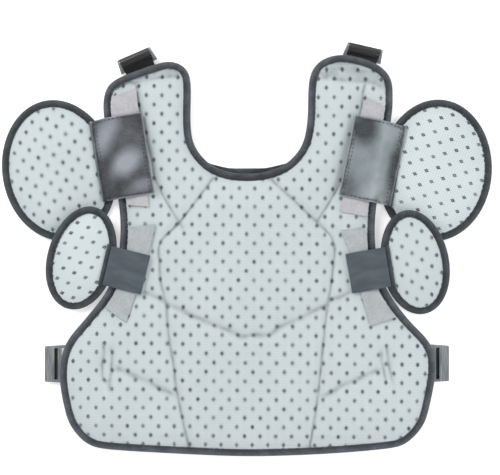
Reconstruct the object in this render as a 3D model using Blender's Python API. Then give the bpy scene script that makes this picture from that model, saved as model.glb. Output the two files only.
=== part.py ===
"""An umpire's chest protector, lying on its outer face with the body side up.

Metres, +Z up, +X to the wearer's pads on the image right, +Y toward the neck.
Lengths in the tables are shares of the named sizes that they follow.
"""

from collections import namedtuple
from math import cos, hypot, pi, radians, sin

import bmesh
import bpy
import numpy as np
from mathutils import Matrix, Vector
from mathutils.bvhtree import BVHTree
from mathutils.geometry import delaunay_2d_cdt

# Vest, seen from above
VEST_LENGTH = 0.5025
HIP_WIDTH = 0.471
WAIST_WIDTH = 0.320
WAIST_HEIGHT = 0.2625
SHOULDER_SPAN = 0.360
NECK_WIDTH = 0.146
NECK_DEPTH = 0.148

# Vest, thickness and bends
VEST_CROWN = 0.022
VEST_RIM = 0.006
VEST_LIFT = 0.0111
VEST_LIFT_REACH = 0.055
VEST_PUFF = 0.030
SHOULDER_CURL = 0.012
SHOULDER_BEND = 0.085
HIP_CURL = 0.008
HIP_BEND = 0.090
SEAM_WIDTH = 0.007
SEAM_DEPTH = 0.005

# Upper and lower arm pads
ARM_PAD_LENGTH = 0.181
ARM_PAD_WIDTH = 0.144
ARM_PAD_CROWN = 0.013
ARM_PAD_RIM = 0.0035
LOWER_PAD_LENGTH = 0.137
LOWER_PAD_WIDTH = 0.0865
LOWER_PAD_CROWN = 0.011
LOWER_PAD_RIM = 0.0045
LOWER_PAD_TILT = 8.0
PAD_LIFT = 0.0035
PAD_LIFT_REACH = 0.020
PAD_PUFF = 0.022
PAD_FULLNESS = 0.025

# Edge tape folded round each pad
TAPE_COVER = 0.0085
TAPE_WALL = 0.0012
TAPE_GAP = 0.0004
TAPE_OUT = TAPE_GAP + TAPE_WALL

# Tabs, loop strips and the collar
ARM_TAB_LENGTH = 0.067
ARM_TAB_HEIGHT = 0.1025
ARM_TAB_WALL = 0.0025
LOWER_TAB_LENGTH = 0.050
LOWER_TAB_HEIGHT = 0.050
LOWER_TAB_WALL = 0.002
TAB_INSET = 0.0135
STRIP_WIDTH = 0.038
STRIP_WALL = 0.0015
COLLAR_SPAN = 0.108
COLLAR_SHOW = 0.0068
COLLAR_TUCK = 0.013
COLLAR_WALL = 0.005

# Ladder-lock buckles and the webbing loops that hold them
WEBBING_WIDTH = 0.038
WEBBING_WALL = 0.0016
BUCKLE_BASE_WIDTH = 0.049
BUCKLE_TAB_WIDTH = 0.0445
BUCKLE_WALL = 0.0046
BAR = 0.0046
LOOP_SLOT = 0.0050
STRAP_SLOT = 0.0060
TAB_BAR = 0.013
SLOT_SLACK = 0.0008
BUCKLE_ROUNDING = 0.0011
SHOULDER_TILT = 68.0
SHOULDER_ANCHOR = 0.026
HIP_ANCHOR = 0.036
HIP_BAR_HEIGHT = 0.0054

# Clearances and mesh spacing
GAP = 0.0003
SEAT_GAP = 0.0005
CELL = 0.017
SHEET_CELL = 0.0095
EDGE_STEP = 0.014
RIM_LAND = TAPE_COVER + 2 * GAP
PUFF_RING = 0.0075

LEFT, RIGHT = -1, 1

# A zone turns a row's shares into a place: how far out from the axis, and how far up from the hem
Zone = namedtuple("Zone", "inner outer base rise")
ZONES = {
    "hem": Zone(0, HIP_WIDTH / 2, 0, WAIST_HEIGHT),
    "side": Zone(WAIST_WIDTH / 2, HIP_WIDTH / 2, 0, WAIST_HEIGHT),
    "arm": Zone(WAIST_WIDTH / 2, SHOULDER_SPAN / 2, WAIST_HEIGHT, VEST_LENGTH - WAIST_HEIGHT),
    "top": Zone(NECK_WIDTH / 2, SHOULDER_SPAN / 2, VEST_LENGTH - NECK_DEPTH, NECK_DEPTH),
    "neck": Zone(0, NECK_WIDTH / 2, VEST_LENGTH - NECK_DEPTH, NECK_DEPTH),
}

# The vest's outline from the hem up the side, over the shoulder and down the neckline
Landmark = namedtuple("Landmark", "name zone left_out left_up right_out right_up")
LANDMARKS = [
    Landmark("hem_quarter", "hem", 0.43, 0.015, 0.43, 0.012),
    Landmark("hem_end", "hem", 0.76, 0.035, 0.78, 0.041),
    Landmark("corner_low", "hem", 0.85, 0.060, 0.86, 0.075),
    Landmark("corner", "side", 0.72, 0.110, 0.71, 0.114),
    Landmark("corner_high", "side", 0.87, 0.186, 0.85, 0.186),
    Landmark("hip", "side", 0.99, 0.381, 1.00, 0.414),
    Landmark("flare_low", "side", 0.90, 0.536, 0.91, 0.543),
    Landmark("flare", "side", 0.58, 0.655, 0.56, 0.652),
    Landmark("flare_high", "side", 0.27, 0.767, 0.26, 0.767),
    Landmark("waist_low", "side", 0.10, 0.867, 0.10, 0.867),
    Landmark("waist", "arm", 0.02, 0.000, 0.02, 0.010),
    Landmark("armhole_low", "arm", -0.03, 0.130, 0.02, 0.151),
    Landmark("armhole", "arm", 0.12, 0.255, 0.17, 0.255),
    Landmark("armhole_high", "arm", 0.97, 0.661, 1.03, 0.672),
    Landmark("corner_out", "top", 1.00, 0.646, 1.02, 0.662),
    Landmark("shoulder_corner", "top", 0.96, 0.738, 1.01, 0.789),
    Landmark("corner_up", "top", 0.87, 0.793, 0.95, 0.857),
    Landmark("slope", "top", 0.69, 0.848, 0.81, 0.932),
    Landmark("middle", "top", 0.46, 0.905, 0.58, 0.986),
    Landmark("crown", "top", 0.24, 0.949, 0.36, 1.000),
    Landmark("neck_corner", "top", 0.09, 0.924, 0.18, 0.958),
    Landmark("neck_turn", "neck", 1.00, 0.865, 1.10, 0.878),
    Landmark("wall_high", "neck", 0.96, 0.738, 1.04, 0.738),
    Landmark("wall_low", "neck", 0.97, 0.468, 1.03, 0.485),
    Landmark("curve_high", "neck", 0.94, 0.283, 0.97, 0.283),
    Landmark("curve", "neck", 0.82, 0.169, 0.85, 0.175),
    Landmark("curve_low", "neck", 0.60, 0.065, 0.64, 0.076),
    Landmark("neck_base", "neck", 0.32, 0.014, 0.35, 0.018),
]

# Quilting seams and creases: depth as a share of the seam depth, points as shares of
# half the hip width and of the vest's length, the same on both sides
Seam = namedtuple("Seam", "name depth points")
SEAMS = [
    Seam("panel", 1.0, ((0.16, 0.692), (0.37, 0.582), (0.46, 0.535), (0.47, 0.512),
                        (0.435, 0.396), (0.414, 0.279), (0.382, 0.179), (0.324, 0.022))),
    Seam("chest", 1.0, ((0.605, 0.928), (0.589, 0.871), (0.507, 0.726), (0.456, 0.654), (0.35, 0.577))),
    Seam("belly", 0.4, ((0.56, 0.412), (0.46, 0.393), (0.35, 0.366), (0.226, 0.340), (0.085, 0.307), (0.0, 0.301))),
    Seam("hip_crease", 0.4, ((0.706, 0.221), (0.565, 0.192), (0.456, 0.164), (0.393, 0.157))),
    Seam("hip_anchor", 0.8, ((0.745, 0.277), (0.732, 0.233), (0.742, 0.185))),
    Seam("shoulder_bend", 0.4, ((0.72, 0.915), (0.64, 0.928), (0.51, 0.938), (0.36, 0.945))),
]

# Pads beside the vest: height as a share of the named zone, lean turns the top outward,
# gap lies between the vest's edge tape and the pad's, and is negative where the pad tucks under
Pad = namedtuple("Pad", "name side zone up lean gap")
ARM_PADS = [
    Pad("arm", LEFT, "arm", 0.401, 12.0, -0.0045),
    Pad("arm", RIGHT, "arm", 0.401, 6.5, -0.0060),
]
LOWER_PADS = [
    Pad("lower", LEFT, "side", 0.950, -16.5, 0.0008),
    Pad("lower", RIGHT, "side", 0.930, -12.0, 0.0006),
]

# Tabs that bridge from a pad onto the vest: lean turns the top outward
Tab = namedtuple("Tab", "name side zone up lean")
ARM_TABS = [Tab("arm", LEFT, "arm", 0.468, 9.0), Tab("arm", RIGHT, "arm", 0.449, 11.5)]
LOWER_TABS = [Tab("lower", LEFT, "side", 0.89, -14.0), Tab("lower", RIGHT, "side", 0.89, -10.0)]

# Loop strips: outer heights follow the edge tape, the inner edge runs through (height, inset)
# pairs, heights in shares of the vest's length and insets in shares of the strip's width
Strip = namedtuple("Strip", "name side top foot inner")
STRIPS = [
    Strip("upper", LEFT, 0.905, 0.613, ((0.622, 0.97), (0.915, 0.96))),
    Strip("upper", RIGHT, 0.889, 0.598, ((0.610, 1.17), (0.893, 0.85))),
    Strip("lower", LEFT, 0.595, 0.358, ((0.335, 1.42), (0.400, 1.02), (0.505, 0.97), (0.580, 1.15))),
    Strip("lower", RIGHT, 0.578, 0.343, ((0.327, 1.40), (0.410, 0.91), (0.513, 0.85), (0.563, 1.13))),
]

# Shoulder loops: along is a share of half the shoulder span, lean turns the strap outward,
# reach is how far the buckle's bar lies past the vest's edge
Strap = namedtuple("Strap", "name side along lean reach")
SHOULDER_STRAPS = [
    Strap("shoulder", LEFT, 0.740, 23.3, 0.0090),
    Strap("shoulder", RIGHT, 0.795, 12.8, 0.0034),
]
# Hip loops: along is a share of the waist height, reach is measured as above
HIP_STRAPS = [
    Strap("hip", LEFT, 0.440, 0.0, -0.0135),
    Strap("hip", RIGHT, 0.443, 0.0, -0.0160),
]

# Linear colours, roughness and metallic share of each material
Finish = namedtuple("Finish", "colour roughness metallic")
FINISHES = {
    "mesh": Finish((0.62, 0.67, 0.68), 0.85, 0.0),
    "tape": Finish((0.050, 0.056, 0.066), 0.80, 0.0),
    "collar": Finish((0.040, 0.044, 0.052), 0.85, 0.0),
    "loop": Finish((0.49, 0.50, 0.51), 0.95, 0.0),
    "leather": Finish((0.030, 0.033, 0.037), 0.30, 0.0),
    "webbing": Finish((0.085, 0.110, 0.130), 0.75, 0.0),
    "black_webbing": Finish((0.020, 0.021, 0.024), 0.75, 0.0),
    "plastic": Finish((0.110, 0.120, 0.128), 0.30, 0.0),
}


def side_name(side):
    return "left" if side == LEFT else "right"


def smooth(t):
    t = np.clip(t, 0.0, 1.0)
    return t * t * (3 - 2 * t)


# Outlines


def place(zone, out, up):
    area = ZONES[zone]
    return area.inner + out * (area.outer - area.inner), area.base + up * area.rise


def round_loop(corners, step):
    """A closed smooth curve through the corners, with points about one step apart."""
    corners = np.array(corners)
    before = np.roll(corners, 1, axis=0)
    after = np.roll(corners, -1, axis=0)
    last = np.roll(corners, -2, axis=0)
    fine = []
    for t in np.linspace(0, 1, 12, endpoint=False):
        bend = 2 * corners + t * (after - before)
        bend = bend + t * t * (2 * before - 5 * corners + 4 * after - last)
        bend = bend + t * t * t * (3 * corners - before - 3 * after + last)
        fine.append(bend / 2)
    return resample(np.stack(fine, axis=1).reshape(-1, 2), step)


def resample(loop, step):
    closed = np.vstack([loop, loop[:1]])
    run = np.concatenate([[0], np.cumsum(np.hypot(*np.diff(closed, axis=0).T))])
    count = round(run[-1] / step)
    at = np.linspace(0, run[-1], count, endpoint=False)
    return np.column_stack([np.interp(at, run, closed[:, 0]), np.interp(at, run, closed[:, 1])])


def vest_corners():
    """The landmarks counter-clockwise: up the right side, then down the left."""
    hem_middle = (0.0, 0.0)
    neck_middle = (0.0, VEST_LENGTH - NECK_DEPTH)
    right = [place(row.zone, row.right_out, row.right_up) for row in LANDMARKS]
    left = [place(row.zone, row.left_out, row.left_up) for row in LANDMARKS]
    return [hem_middle] + right + [neck_middle] + [(-x, y) for x, y in reversed(left)]


def egg_loop(length, width):
    """An oval a little fuller at its lower end, which leaves room for its tape in the given size."""
    turn = np.linspace(0, 2 * pi, 240, endpoint=False)
    up = np.sin(turn)
    across = np.cos(turn) * (1 - PAD_FULLNESS * up)
    half = (width / 2 - TAPE_OUT, length / 2 - TAPE_OUT)
    return resample(np.column_stack([across * half[0], up * half[1]]), EDGE_STEP)


def turned(loop, angle, centre=(0.0, 0.0)):
    c, s = cos(radians(angle)), sin(radians(angle))
    return loop @ np.array([[c, s], [-s, c]]) + np.array(centre)


def inward(loop):
    """Each point's unit direction into a counter-clockwise loop."""
    along = np.roll(loop, -1, axis=0) - np.roll(loop, 1, axis=0)
    along /= np.hypot(*along.T)[:, None]
    return np.column_stack([-along[:, 1], along[:, 0]])


def distance_to(points, path, closed=False):
    """How far each point lies from a path of straight runs."""
    path = np.asarray(path, float)
    if closed:
        path = np.vstack([path, path[:1]])
    start, run = path[:-1], np.diff(path, axis=0)
    offset = np.asarray(points, float)[:, None, :] - start[None]
    t = np.clip((offset * run).sum(2) / (run * run).sum(1), 0, 1)
    return np.hypot(*np.moveaxis(offset - t[..., None] * run, 2, 0)).min(1)


def inside(points, loop):
    ends = np.roll(loop, -1, axis=0)
    x, y = points[:, :1], points[:, 1:]
    spans = (loop[:, 1] > y) != (ends[:, 1] > y)
    rise = np.where(spans, ends[:, 1] - loop[:, 1], 1.0)
    crossing = loop[:, 0] + (y - loop[:, 1]) / rise * (ends[:, 0] - loop[:, 0])
    return (spans & (x < crossing)).sum(1) % 2 == 1


def edge_out(loop, side, height):
    """How far out the loop's edge lies at this height, on this side of the axis."""
    ends = np.roll(loop, -1, axis=0)
    low, high = np.minimum(loop[:, 1], ends[:, 1]), np.maximum(loop[:, 1], ends[:, 1])
    hit = (low <= height) & (height < high)
    t = (height - loop[hit, 1]) / (ends[hit, 1] - loop[hit, 1])
    x = loop[hit, 0] + t * (ends[hit, 0] - loop[hit, 0])
    return (side * x).max() if len(x) else 0.0


# Solids


def grid_points(loop, cell, keep_off, lines=()):
    """A hexagonal grid inside the loop, clear of its edge and of the given lines."""
    low, high = loop.min(0), loop.max(0)
    rows = np.arange(low[1], high[1], cell * 0.866)
    found = []
    for i, y in enumerate(rows):
        x = np.arange(low[0] + (i % 2) * cell / 2, high[0], cell)
        found.append(np.column_stack([x, np.full(len(x), y)]))
    points = np.vstack(found)
    points = points[inside(points, loop)]
    points = points[distance_to(points, loop, closed=True) > keep_off]
    for line in lines:
        if len(line) > 1:
            points = points[distance_to(points, line) > cell * 0.45]
    return points


def fill(loop, inner, lines=()):
    """Triangles over the loop through the inner points, with edges along the lines."""
    points = [Vector(p) for p in loop] + [Vector(p) for p in inner]
    edges = []
    for line in lines:
        first = len(points)
        points += [Vector(p) for p in line]
        edges += [(first + i, first + i + 1) for i in range(len(line) - 1)]
    around = [list(range(len(loop)))]
    verts, _, faces, _, _, _ = delaunay_2d_cdt(points, edges, around, 1, 1e-5)
    flat = np.array([tuple(v) for v in verts])
    faces = [tuple(face) for face in faces]
    used = sorted({i for face in faces for i in face})
    index = {old: new for new, old in enumerate(used)}
    return flat[used], [tuple(index[i] for i in face) for face in faces]


def slab(name, flat, faces, low, high):
    """A closed solid between two height fields over the same triangles."""
    bm = bmesh.new()
    top = [bm.verts.new((x, y, z)) for (x, y), z in zip(flat, high)]
    under = [bm.verts.new((x, y, z)) for (x, y), z in zip(flat, low)]
    directed = {(a, b) for face in faces for a, b in zip(face, face[1:] + face[:1])}
    for face in faces:
        bm.faces.new([top[i] for i in face])
        bm.faces.new([under[i] for i in reversed(face)])
    for a, b in sorted(directed):
        if (b, a) not in directed:
            bm.faces.new((under[a], under[b], top[b], top[a]))
    return make_object(name, bm)


def make_object(name, bm):
    bmesh.ops.recalc_face_normals(bm, faces=bm.faces)
    mesh = bpy.data.meshes.new(name)
    bm.to_mesh(mesh)
    bm.free()
    mesh.shade_smooth()
    mesh.set_sharp_from_angle(angle=radians(35))
    obj = bpy.data.objects.new(name, mesh)
    bpy.context.scene.collection.objects.link(obj)
    return obj


def finished(obj, finish):
    """Gives the object its own material and puts its origin at its middle."""
    look = FINISHES[finish]
    material = bpy.data.materials.new(obj.name)
    material.use_nodes = True
    shader = material.node_tree.nodes["Principled BSDF"]
    shader.inputs["Base Color"].default_value = (*look.colour, 1)
    shader.inputs["Roughness"].default_value = look.roughness
    shader.inputs["Metallic"].default_value = look.metallic
    obj.data.materials.append(material)
    if obj.location.length == 0:
        corners = np.array([v.co[:] for v in obj.data.vertices])
        middle = Vector((corners.min(0) + corners.max(0)) / 2)
        obj.data.transform(Matrix.Translation(-middle))
        obj.location = middle
    return obj


# A padded piece is described by its outline and its heights over the ground
Padding = namedtuple("Padding", "loop crown rim lift lift_reach puff curl seams")


def seam_lines():
    """The vest's seams on both sides, as (depth, points) pairs."""
    lines = []
    for seam in SEAMS:
        for side in (LEFT, RIGHT):
            shares = np.array(seam.points) * (side * HIP_WIDTH / 2, VEST_LENGTH)
            lines.append((seam.depth * SEAM_DEPTH, open_resample(shares, CELL)))
    return lines


def open_resample(path, step):
    run = np.concatenate([[0], np.cumsum(np.hypot(*np.diff(path, axis=0).T))])
    at = np.linspace(0, run[-1], max(2, round(run[-1] / step) + 1))
    return np.column_stack([np.interp(at, run, path[:, 0]), np.interp(at, run, path[:, 1])])


def split_long(loop, step):
    """The same closed outline with no run longer than a step."""
    parts = []
    for start, end in zip(loop, np.roll(loop, -1, axis=0)):
        count = max(1, int(np.ceil(hypot(*(end - start)) / step)))
        parts += [start + (end - start) * k / count for k in range(count)]
    return np.array(parts)


def flat_curl(points):
    return np.zeros(len(points))


def vest_curl(points):
    """The shoulders and the hips bend up, away from the ground."""
    up = np.clip((points[:, 1] - VEST_LENGTH + SHOULDER_BEND) / SHOULDER_BEND, 0, 1)
    out = np.clip((np.abs(points[:, 0]) - HIP_WIDTH / 2 + HIP_BEND) / HIP_BEND, 0, 1)
    return SHOULDER_CURL * up**2 + HIP_CURL * out**2


def pad_heights(padding, points):
    """The underside's and the top's height at each point."""
    depth = distance_to(points, padding.loop, closed=True)
    depth = np.where(inside(points, padding.loop), depth, 0.0)
    low = padding.curl(points) + padding.lift * (1 - smooth(depth / padding.lift_reach))
    rise = 1 - (1 - np.clip((depth - RIM_LAND) / padding.puff, 0, 1)) ** 2
    high = low + padding.rim + (padding.crown - padding.rim) * rise
    for seam_depth, line in padding.seams:
        groove = seam_depth * np.exp(-((distance_to(points, line) / SEAM_WIDTH) ** 2))
        high = high - groove * rise
    return low, high


def pad_solid(name, padding):
    ring_offsets = (RIM_LAND, RIM_LAND + PUFF_RING)
    rings = [padding.loop + inward(padding.loop) * offset for offset in ring_offsets]
    lines = []
    for _, line in padding.seams:
        held = inside(line, padding.loop) & (distance_to(line, padding.loop, True) > ring_offsets[1] + CELL / 3)
        if held.sum() > 1:
            lines.append(line[held])
    grid = grid_points(padding.loop, CELL, ring_offsets[1] + 0.45 * CELL, lines)
    inner = np.vstack([rings[0], rings[1], grid])
    flat, faces = fill(padding.loop, inner, lines)
    low, high = pad_heights(padding, flat)
    return slab(name, flat, faces, low, high)


def tape_solid(name, padding):
    """A U of tape folded over the pad's rim: rows of (inset, face, offset) round the fold."""
    under, top = 0, 1
    fold = [
        (TAPE_COVER, top, TAPE_GAP),
        (-TAPE_GAP, top, TAPE_GAP),
        (-TAPE_GAP, under, -TAPE_GAP),
        (TAPE_COVER, under, -TAPE_GAP),
        (TAPE_COVER, under, -TAPE_OUT),
        (-TAPE_OUT, under, -TAPE_OUT),
        (-TAPE_OUT, top, TAPE_OUT),
        (TAPE_COVER, top, TAPE_OUT),
    ]
    ways = inward(padding.loop)
    bm = bmesh.new()
    runs = []
    for inset, face, offset in fold:
        flat = padding.loop + ways * inset
        heights = pad_heights(padding, padding.loop + ways * max(inset, 0.0))[face]
        runs.append([bm.verts.new((x, y, z + offset)) for (x, y), z in zip(flat, heights)])
    count = len(padding.loop)
    for run, following in zip(runs, runs[1:] + runs[:1]):
        for i in range(count):
            j = (i + 1) % count
            bm.faces.new((run[i], run[j], following[j], following[i]))
    return make_object(name, bm)


# What lies on or under something takes its heights from it


def tree_of(obj):
    bpy.context.view_layer.update()
    points = [obj.matrix_world @ v.co for v in obj.data.vertices]
    return BVHTree.FromPolygons(points, [tuple(p.vertices) for p in obj.data.polygons])


def touched(point, trees, way, far=1.0):
    """The first height met from far off along way, over all the trees, or None."""
    start = Vector((point[0], point[1], -way * far))
    hits = [tree.ray_cast(start, Vector((0, 0, way)))[0] for tree in trees]
    heights = [hit.z for hit in hits if hit is not None]
    if not heights:
        return None
    return max(heights) if way < 0 else min(heights)


def seat_heights(flat, supports, reach, way):
    """Heights that clear the supports within reach of each point, from above (way -1) or below."""
    trees = [tree_of(obj) for obj in supports]
    turns = [(0, 0)]
    for radius in (reach / 2, reach):
        turns += [(radius * cos(k * pi / 5), radius * sin(k * pi / 5)) for k in range(10)]
    found = []
    for x, y in flat:
        near = [touched((x + dx, y + dy), trees, way) for dx, dy in turns]
        near = [z for z in near if z is not None]
        found.append((max(near) if way < 0 else min(near)) if near else np.nan)
    found = np.array(found)
    missing = np.isnan(found)
    known = flat[~missing]
    for i in np.flatnonzero(missing):
        nearest = np.argmin(np.hypot(*(known - flat[i]).T))
        found[i] = found[~missing][nearest]
    return found


def taut(heights, faces, way, rim, rounds=3):
    """Pulls a laid sheet's hollows toward their neighbours' mean, but holds its first rim points."""
    near = [set() for _ in heights]
    for face in faces:
        for i in face:
            near[i].update(face)
    for _ in range(rounds):
        mean = np.array([heights[sorted(around)].mean() for around in near])
        mean[:rim] = heights[:rim]
        heights = np.maximum(heights, mean) if way < 0 else np.minimum(heights, mean)
    return heights


def laid_sheet(name, loop, wall, supports, way=-1):
    """A sheet that lies on its supports (way -1) or hangs just under them (way 1)."""
    loop = split_long(loop, SHEET_CELL)
    flat, faces = fill(loop, grid_points(loop, SHEET_CELL, SHEET_CELL * 0.6))
    seat = taut(seat_heights(flat, supports, SHEET_CELL, way), faces, way, len(loop))
    near, far = sorted((-way * SEAT_GAP, -way * (SEAT_GAP + wall)))
    return slab(name, flat, faces, seat + near, seat + far)


def seat_lift(pieces, supports):
    """How far stiff pieces must rise for their undersides to clear their supports."""
    lifts = [0.0]
    for way, movers, others in ((-1, pieces, supports), (1, supports, pieces)):
        trees = [tree_of(obj) for obj in others]
        for obj in movers:
            for vertex in obj.data.vertices:
                point = obj.matrix_world @ vertex.co
                height = touched(point, trees, way)
                if height is not None:
                    lifts.append(way * (point.z - height))
    return max(lifts) + SEAT_GAP


# Pads


def vest_padding():
    outline = round_loop(vest_corners(), EDGE_STEP)
    loop = outline + inward(outline) * TAPE_OUT
    return Padding(loop, VEST_CROWN, VEST_RIM, VEST_LIFT, VEST_LIFT_REACH, VEST_PUFF, vest_curl, seam_lines())


def oval_padding(length, width, crown, rim):
    return Padding(egg_loop(length, width), crown, rim, PAD_LIFT, PAD_LIFT_REACH, PAD_PUFF, flat_curl, [])


def beside(vest_loop, pad_loop, row):
    """The centre that puts the pad's tape at its gap from the vest's, or tucks it under by as much."""
    _, height = place(row.zone, 0, row.up)
    loop = turned(pad_loop, -row.side * row.lean)
    clear = [
        edge_out(vest_loop, row.side, y + height) - row.side * x
        for x, y in loop
    ]
    out = max(clear) + 2 * TAPE_OUT + row.gap
    while row.gap > 0:
        short = 2 * TAPE_OUT + row.gap - distance_to(loop + (row.side * out, height), vest_loop, True).min()
        if short < GAP / 10:
            break
        out += short
    return row.side * out, height


def add_arm_pads(vest_loop):
    padding = oval_padding(ARM_PAD_LENGTH, ARM_PAD_WIDTH, ARM_PAD_CROWN, ARM_PAD_RIM)
    made = {}
    for row in ARM_PADS:
        side = side_name(row.side)
        x, y = beside(vest_loop, padding.loop, row)
        pad = pad_solid("arm_pad_" + side, padding)
        tape = tape_solid("arm_binding_" + side, padding)
        for obj in (pad, tape):
            obj.location = (x, y, 0)
            obj.rotation_euler.z = -row.side * radians(row.lean)
        made[row.side] = [finished(pad, "mesh"), finished(tape, "tape")]
    return made


def add_lower_pads(vest_loop, arm_pads):
    """Small ovals whose upper ends lie on the arm pads and whose lower ends lie near the ground."""
    padding = oval_padding(LOWER_PAD_LENGTH, LOWER_PAD_WIDTH, LOWER_PAD_CROWN, LOWER_PAD_RIM)
    made = {}
    for row in LOWER_PADS:
        side = side_name(row.side)
        x, y = beside(vest_loop, padding.loop, row)
        pad = pad_solid("lower_pad_" + side, padding)
        tape = tape_solid("lower_binding_" + side, padding)
        turn = Matrix.Rotation(-row.side * radians(row.lean), 4, "Z")
        turn = turn @ Matrix.Rotation(radians(LOWER_PAD_TILT), 4, "X")
        lowest = min((turn @ v.co).z for v in tape.data.vertices)
        for obj in (pad, tape):
            obj.rotation_euler = turn.to_euler()
            obj.location = (x, y, PAD_LIFT - TAPE_WALL - lowest)
        lift = seat_lift((pad, tape), arm_pads[row.side])
        for obj in (pad, tape):
            obj.location.z += lift
        made[row.side] = [finished(pad, "mesh"), finished(tape, "tape")]
    return made


# Strips, tabs and collar


def strip_loop(vest_loop, row):
    """The strip's outline: along the edge tape outside, through its own points inside."""
    inset = TAPE_COVER + 2 * GAP
    edge = vest_loop + inward(vest_loop) * inset
    low, high = row.foot * VEST_LENGTH, row.top * VEST_LENGTH
    waist_side = row.side * edge[:, 0] > NECK_WIDTH / 2 + inset + STRIP_WIDTH / 2
    held = edge[waist_side & (edge[:, 1] > low) & (edge[:, 1] < high)]
    held = held[np.argsort(-held[:, 1])]
    inner = []
    for up, share in row.inner:
        height = up * VEST_LENGTH
        out = edge_out(vest_loop, row.side, height) - share * STRIP_WIDTH
        inner.append((row.side * out, height))
    loop = np.vstack([held, inner])
    return loop if row.side == LEFT else loop[::-1]


def add_strips(vest_loop, vest_pad):
    made = {}
    for row in STRIPS:
        name = "loop_strip_" + row.name + "_" + side_name(row.side)
        strip = laid_sheet(name, strip_loop(vest_loop, row), STRIP_WALL, [vest_pad])
        made[row.name, row.side] = finished(strip, "loop")
    return made


def rectangle(width, height):
    return np.array([(-1, -1), (1, -1), (1, 1), (-1, 1)]) * (width / 2, height / 2)


def add_tabs(rows, vest_loop, size, wall, finish, supports):
    for row in rows:
        _, height = place(row.zone, 0, row.up)
        out = edge_out(vest_loop, row.side, height) - TAB_INSET
        loop = turned(rectangle(*size), -row.side * row.lean, (row.side * out, height))
        tab = laid_sheet(row.name + "_tab_" + side_name(row.side), loop, wall, supports[row.side])
        finished(tab, finish)


def add_collar(vest_loop, supports):
    """A crescent that shows above the neckline and runs on under it."""
    across = np.linspace(-1, 1, 15)
    neck_floor = VEST_LENGTH - NECK_DEPTH
    near = vest_loop[(np.abs(vest_loop[:, 0]) < NECK_WIDTH / 2) & (vest_loop[:, 1] > neck_floor - 0.001)]
    near = near[np.argsort(near[:, 0])]
    x = across * COLLAR_SPAN / 2
    edge = np.interp(x, near[:, 0], near[:, 1])
    upper = np.column_stack([x, edge + COLLAR_SHOW * (1 - across**4)])
    lower = np.column_stack([x, edge - COLLAR_TUCK * (1 - across**4 / 2)])
    loop = np.vstack([lower, upper[::-1]])
    finished(laid_sheet("collar_pad", loop, COLLAR_WALL, supports, way=1), "collar")


# Buckles and their loops


def ladder_lock(name):
    """A frame with a base bar at the origin, a middle bar and a broad tab bar along +X."""
    length = BAR / 2 + LOOP_SLOT + BAR + STRAP_SLOT + TAB_BAR
    starts = [-BAR / 2, BAR / 2, BAR / 2 + LOOP_SLOT]
    starts += [starts[-1] + BAR, starts[-1] + BAR + STRAP_SLOT, length]
    slot_half = (WEBBING_WIDTH + SLOT_SLACK) / 2
    bm = bmesh.new()
    rows = []
    for x in starts:
        taper = (x - starts[0]) / (starts[-1] - starts[0])
        half = (BUCKLE_BASE_WIDTH + taper * (BUCKLE_TAB_WIDTH - BUCKLE_BASE_WIDTH)) / 2
        rows.append([bm.verts.new((x, y, -BUCKLE_WALL / 2)) for y in (-half, -slot_half, slot_half, half)])
    open_cells = {(1, 1), (3, 1)}
    for i in range(len(rows) - 1):
        for j in range(3):
            if (i, j) not in open_cells:
                bm.faces.new((rows[i][j], rows[i + 1][j], rows[i + 1][j + 1], rows[i][j + 1]))
    made = bmesh.ops.extrude_face_region(bm, geom=bm.faces[:])
    lifted = [v for v in made["geom"] if isinstance(v, bmesh.types.BMVert)]
    bmesh.ops.translate(bm, verts=lifted, vec=(0, 0, BUCKLE_WALL))
    bmesh.ops.recalc_face_normals(bm, faces=bm.faces)
    sharp = [e for e in bm.edges if e.calc_face_angle(0) > radians(30)]
    bmesh.ops.bevel(bm, geom=sharp, offset=BUCKLE_ROUNDING, offset_type="OFFSET", affect="EDGES",
                    segments=2, profile=0.5, material=-1)
    return make_object(name, bm)


def loop_ring(name, bar_height, anchor, anchor_height):
    """A flat strap loop round the bar at the origin, closed at its anchor, as an extruded ring."""
    middle = hypot(BAR / 2, BAR / 2) - BUCKLE_ROUNDING / 2 + 2 * GAP + WEBBING_WALL / 2
    pinch = WEBBING_WALL / 2 + GAP / 2
    rise = anchor_height - bar_height
    profile = [(middle * cos(a), middle * sin(a), cos(a), sin(a)) for a in np.linspace(-pi / 2, pi / 2, 9)]
    profile += [
        (-anchor + pinch * cos(a), rise + pinch * sin(a), cos(a), sin(a))
        for a in np.linspace(pi / 2, 3 * pi / 2, 5)
    ]
    half = WEBBING_WIDTH / 2
    bm = bmesh.new()
    runs = []
    for offset, y in ((0.5, half), (0.5, -half), (-0.5, -half), (-0.5, half)):
        shift = offset * WEBBING_WALL
        runs.append([bm.verts.new((x + nx * shift, y, z + nz * shift)) for x, z, nx, nz in profile])
    for run, following in zip(runs, runs[1:] + runs[:1]):
        for i in range(len(profile)):
            j = (i + 1) % len(profile)
            bm.faces.new((run[i], run[j], following[j], following[i]))
    return make_object(name, bm)


def lowest_over(origin, outward, trees):
    """The lowest underside over the strap's width at this place."""
    across = Vector((-outward.y, outward.x, 0))
    spread = np.linspace(-WEBBING_WIDTH / 2, WEBBING_WIDTH / 2, 9)
    heights = [touched(origin + across * s, trees, 1) for s in spread]
    return min(z for z in heights if z is not None)


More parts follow.
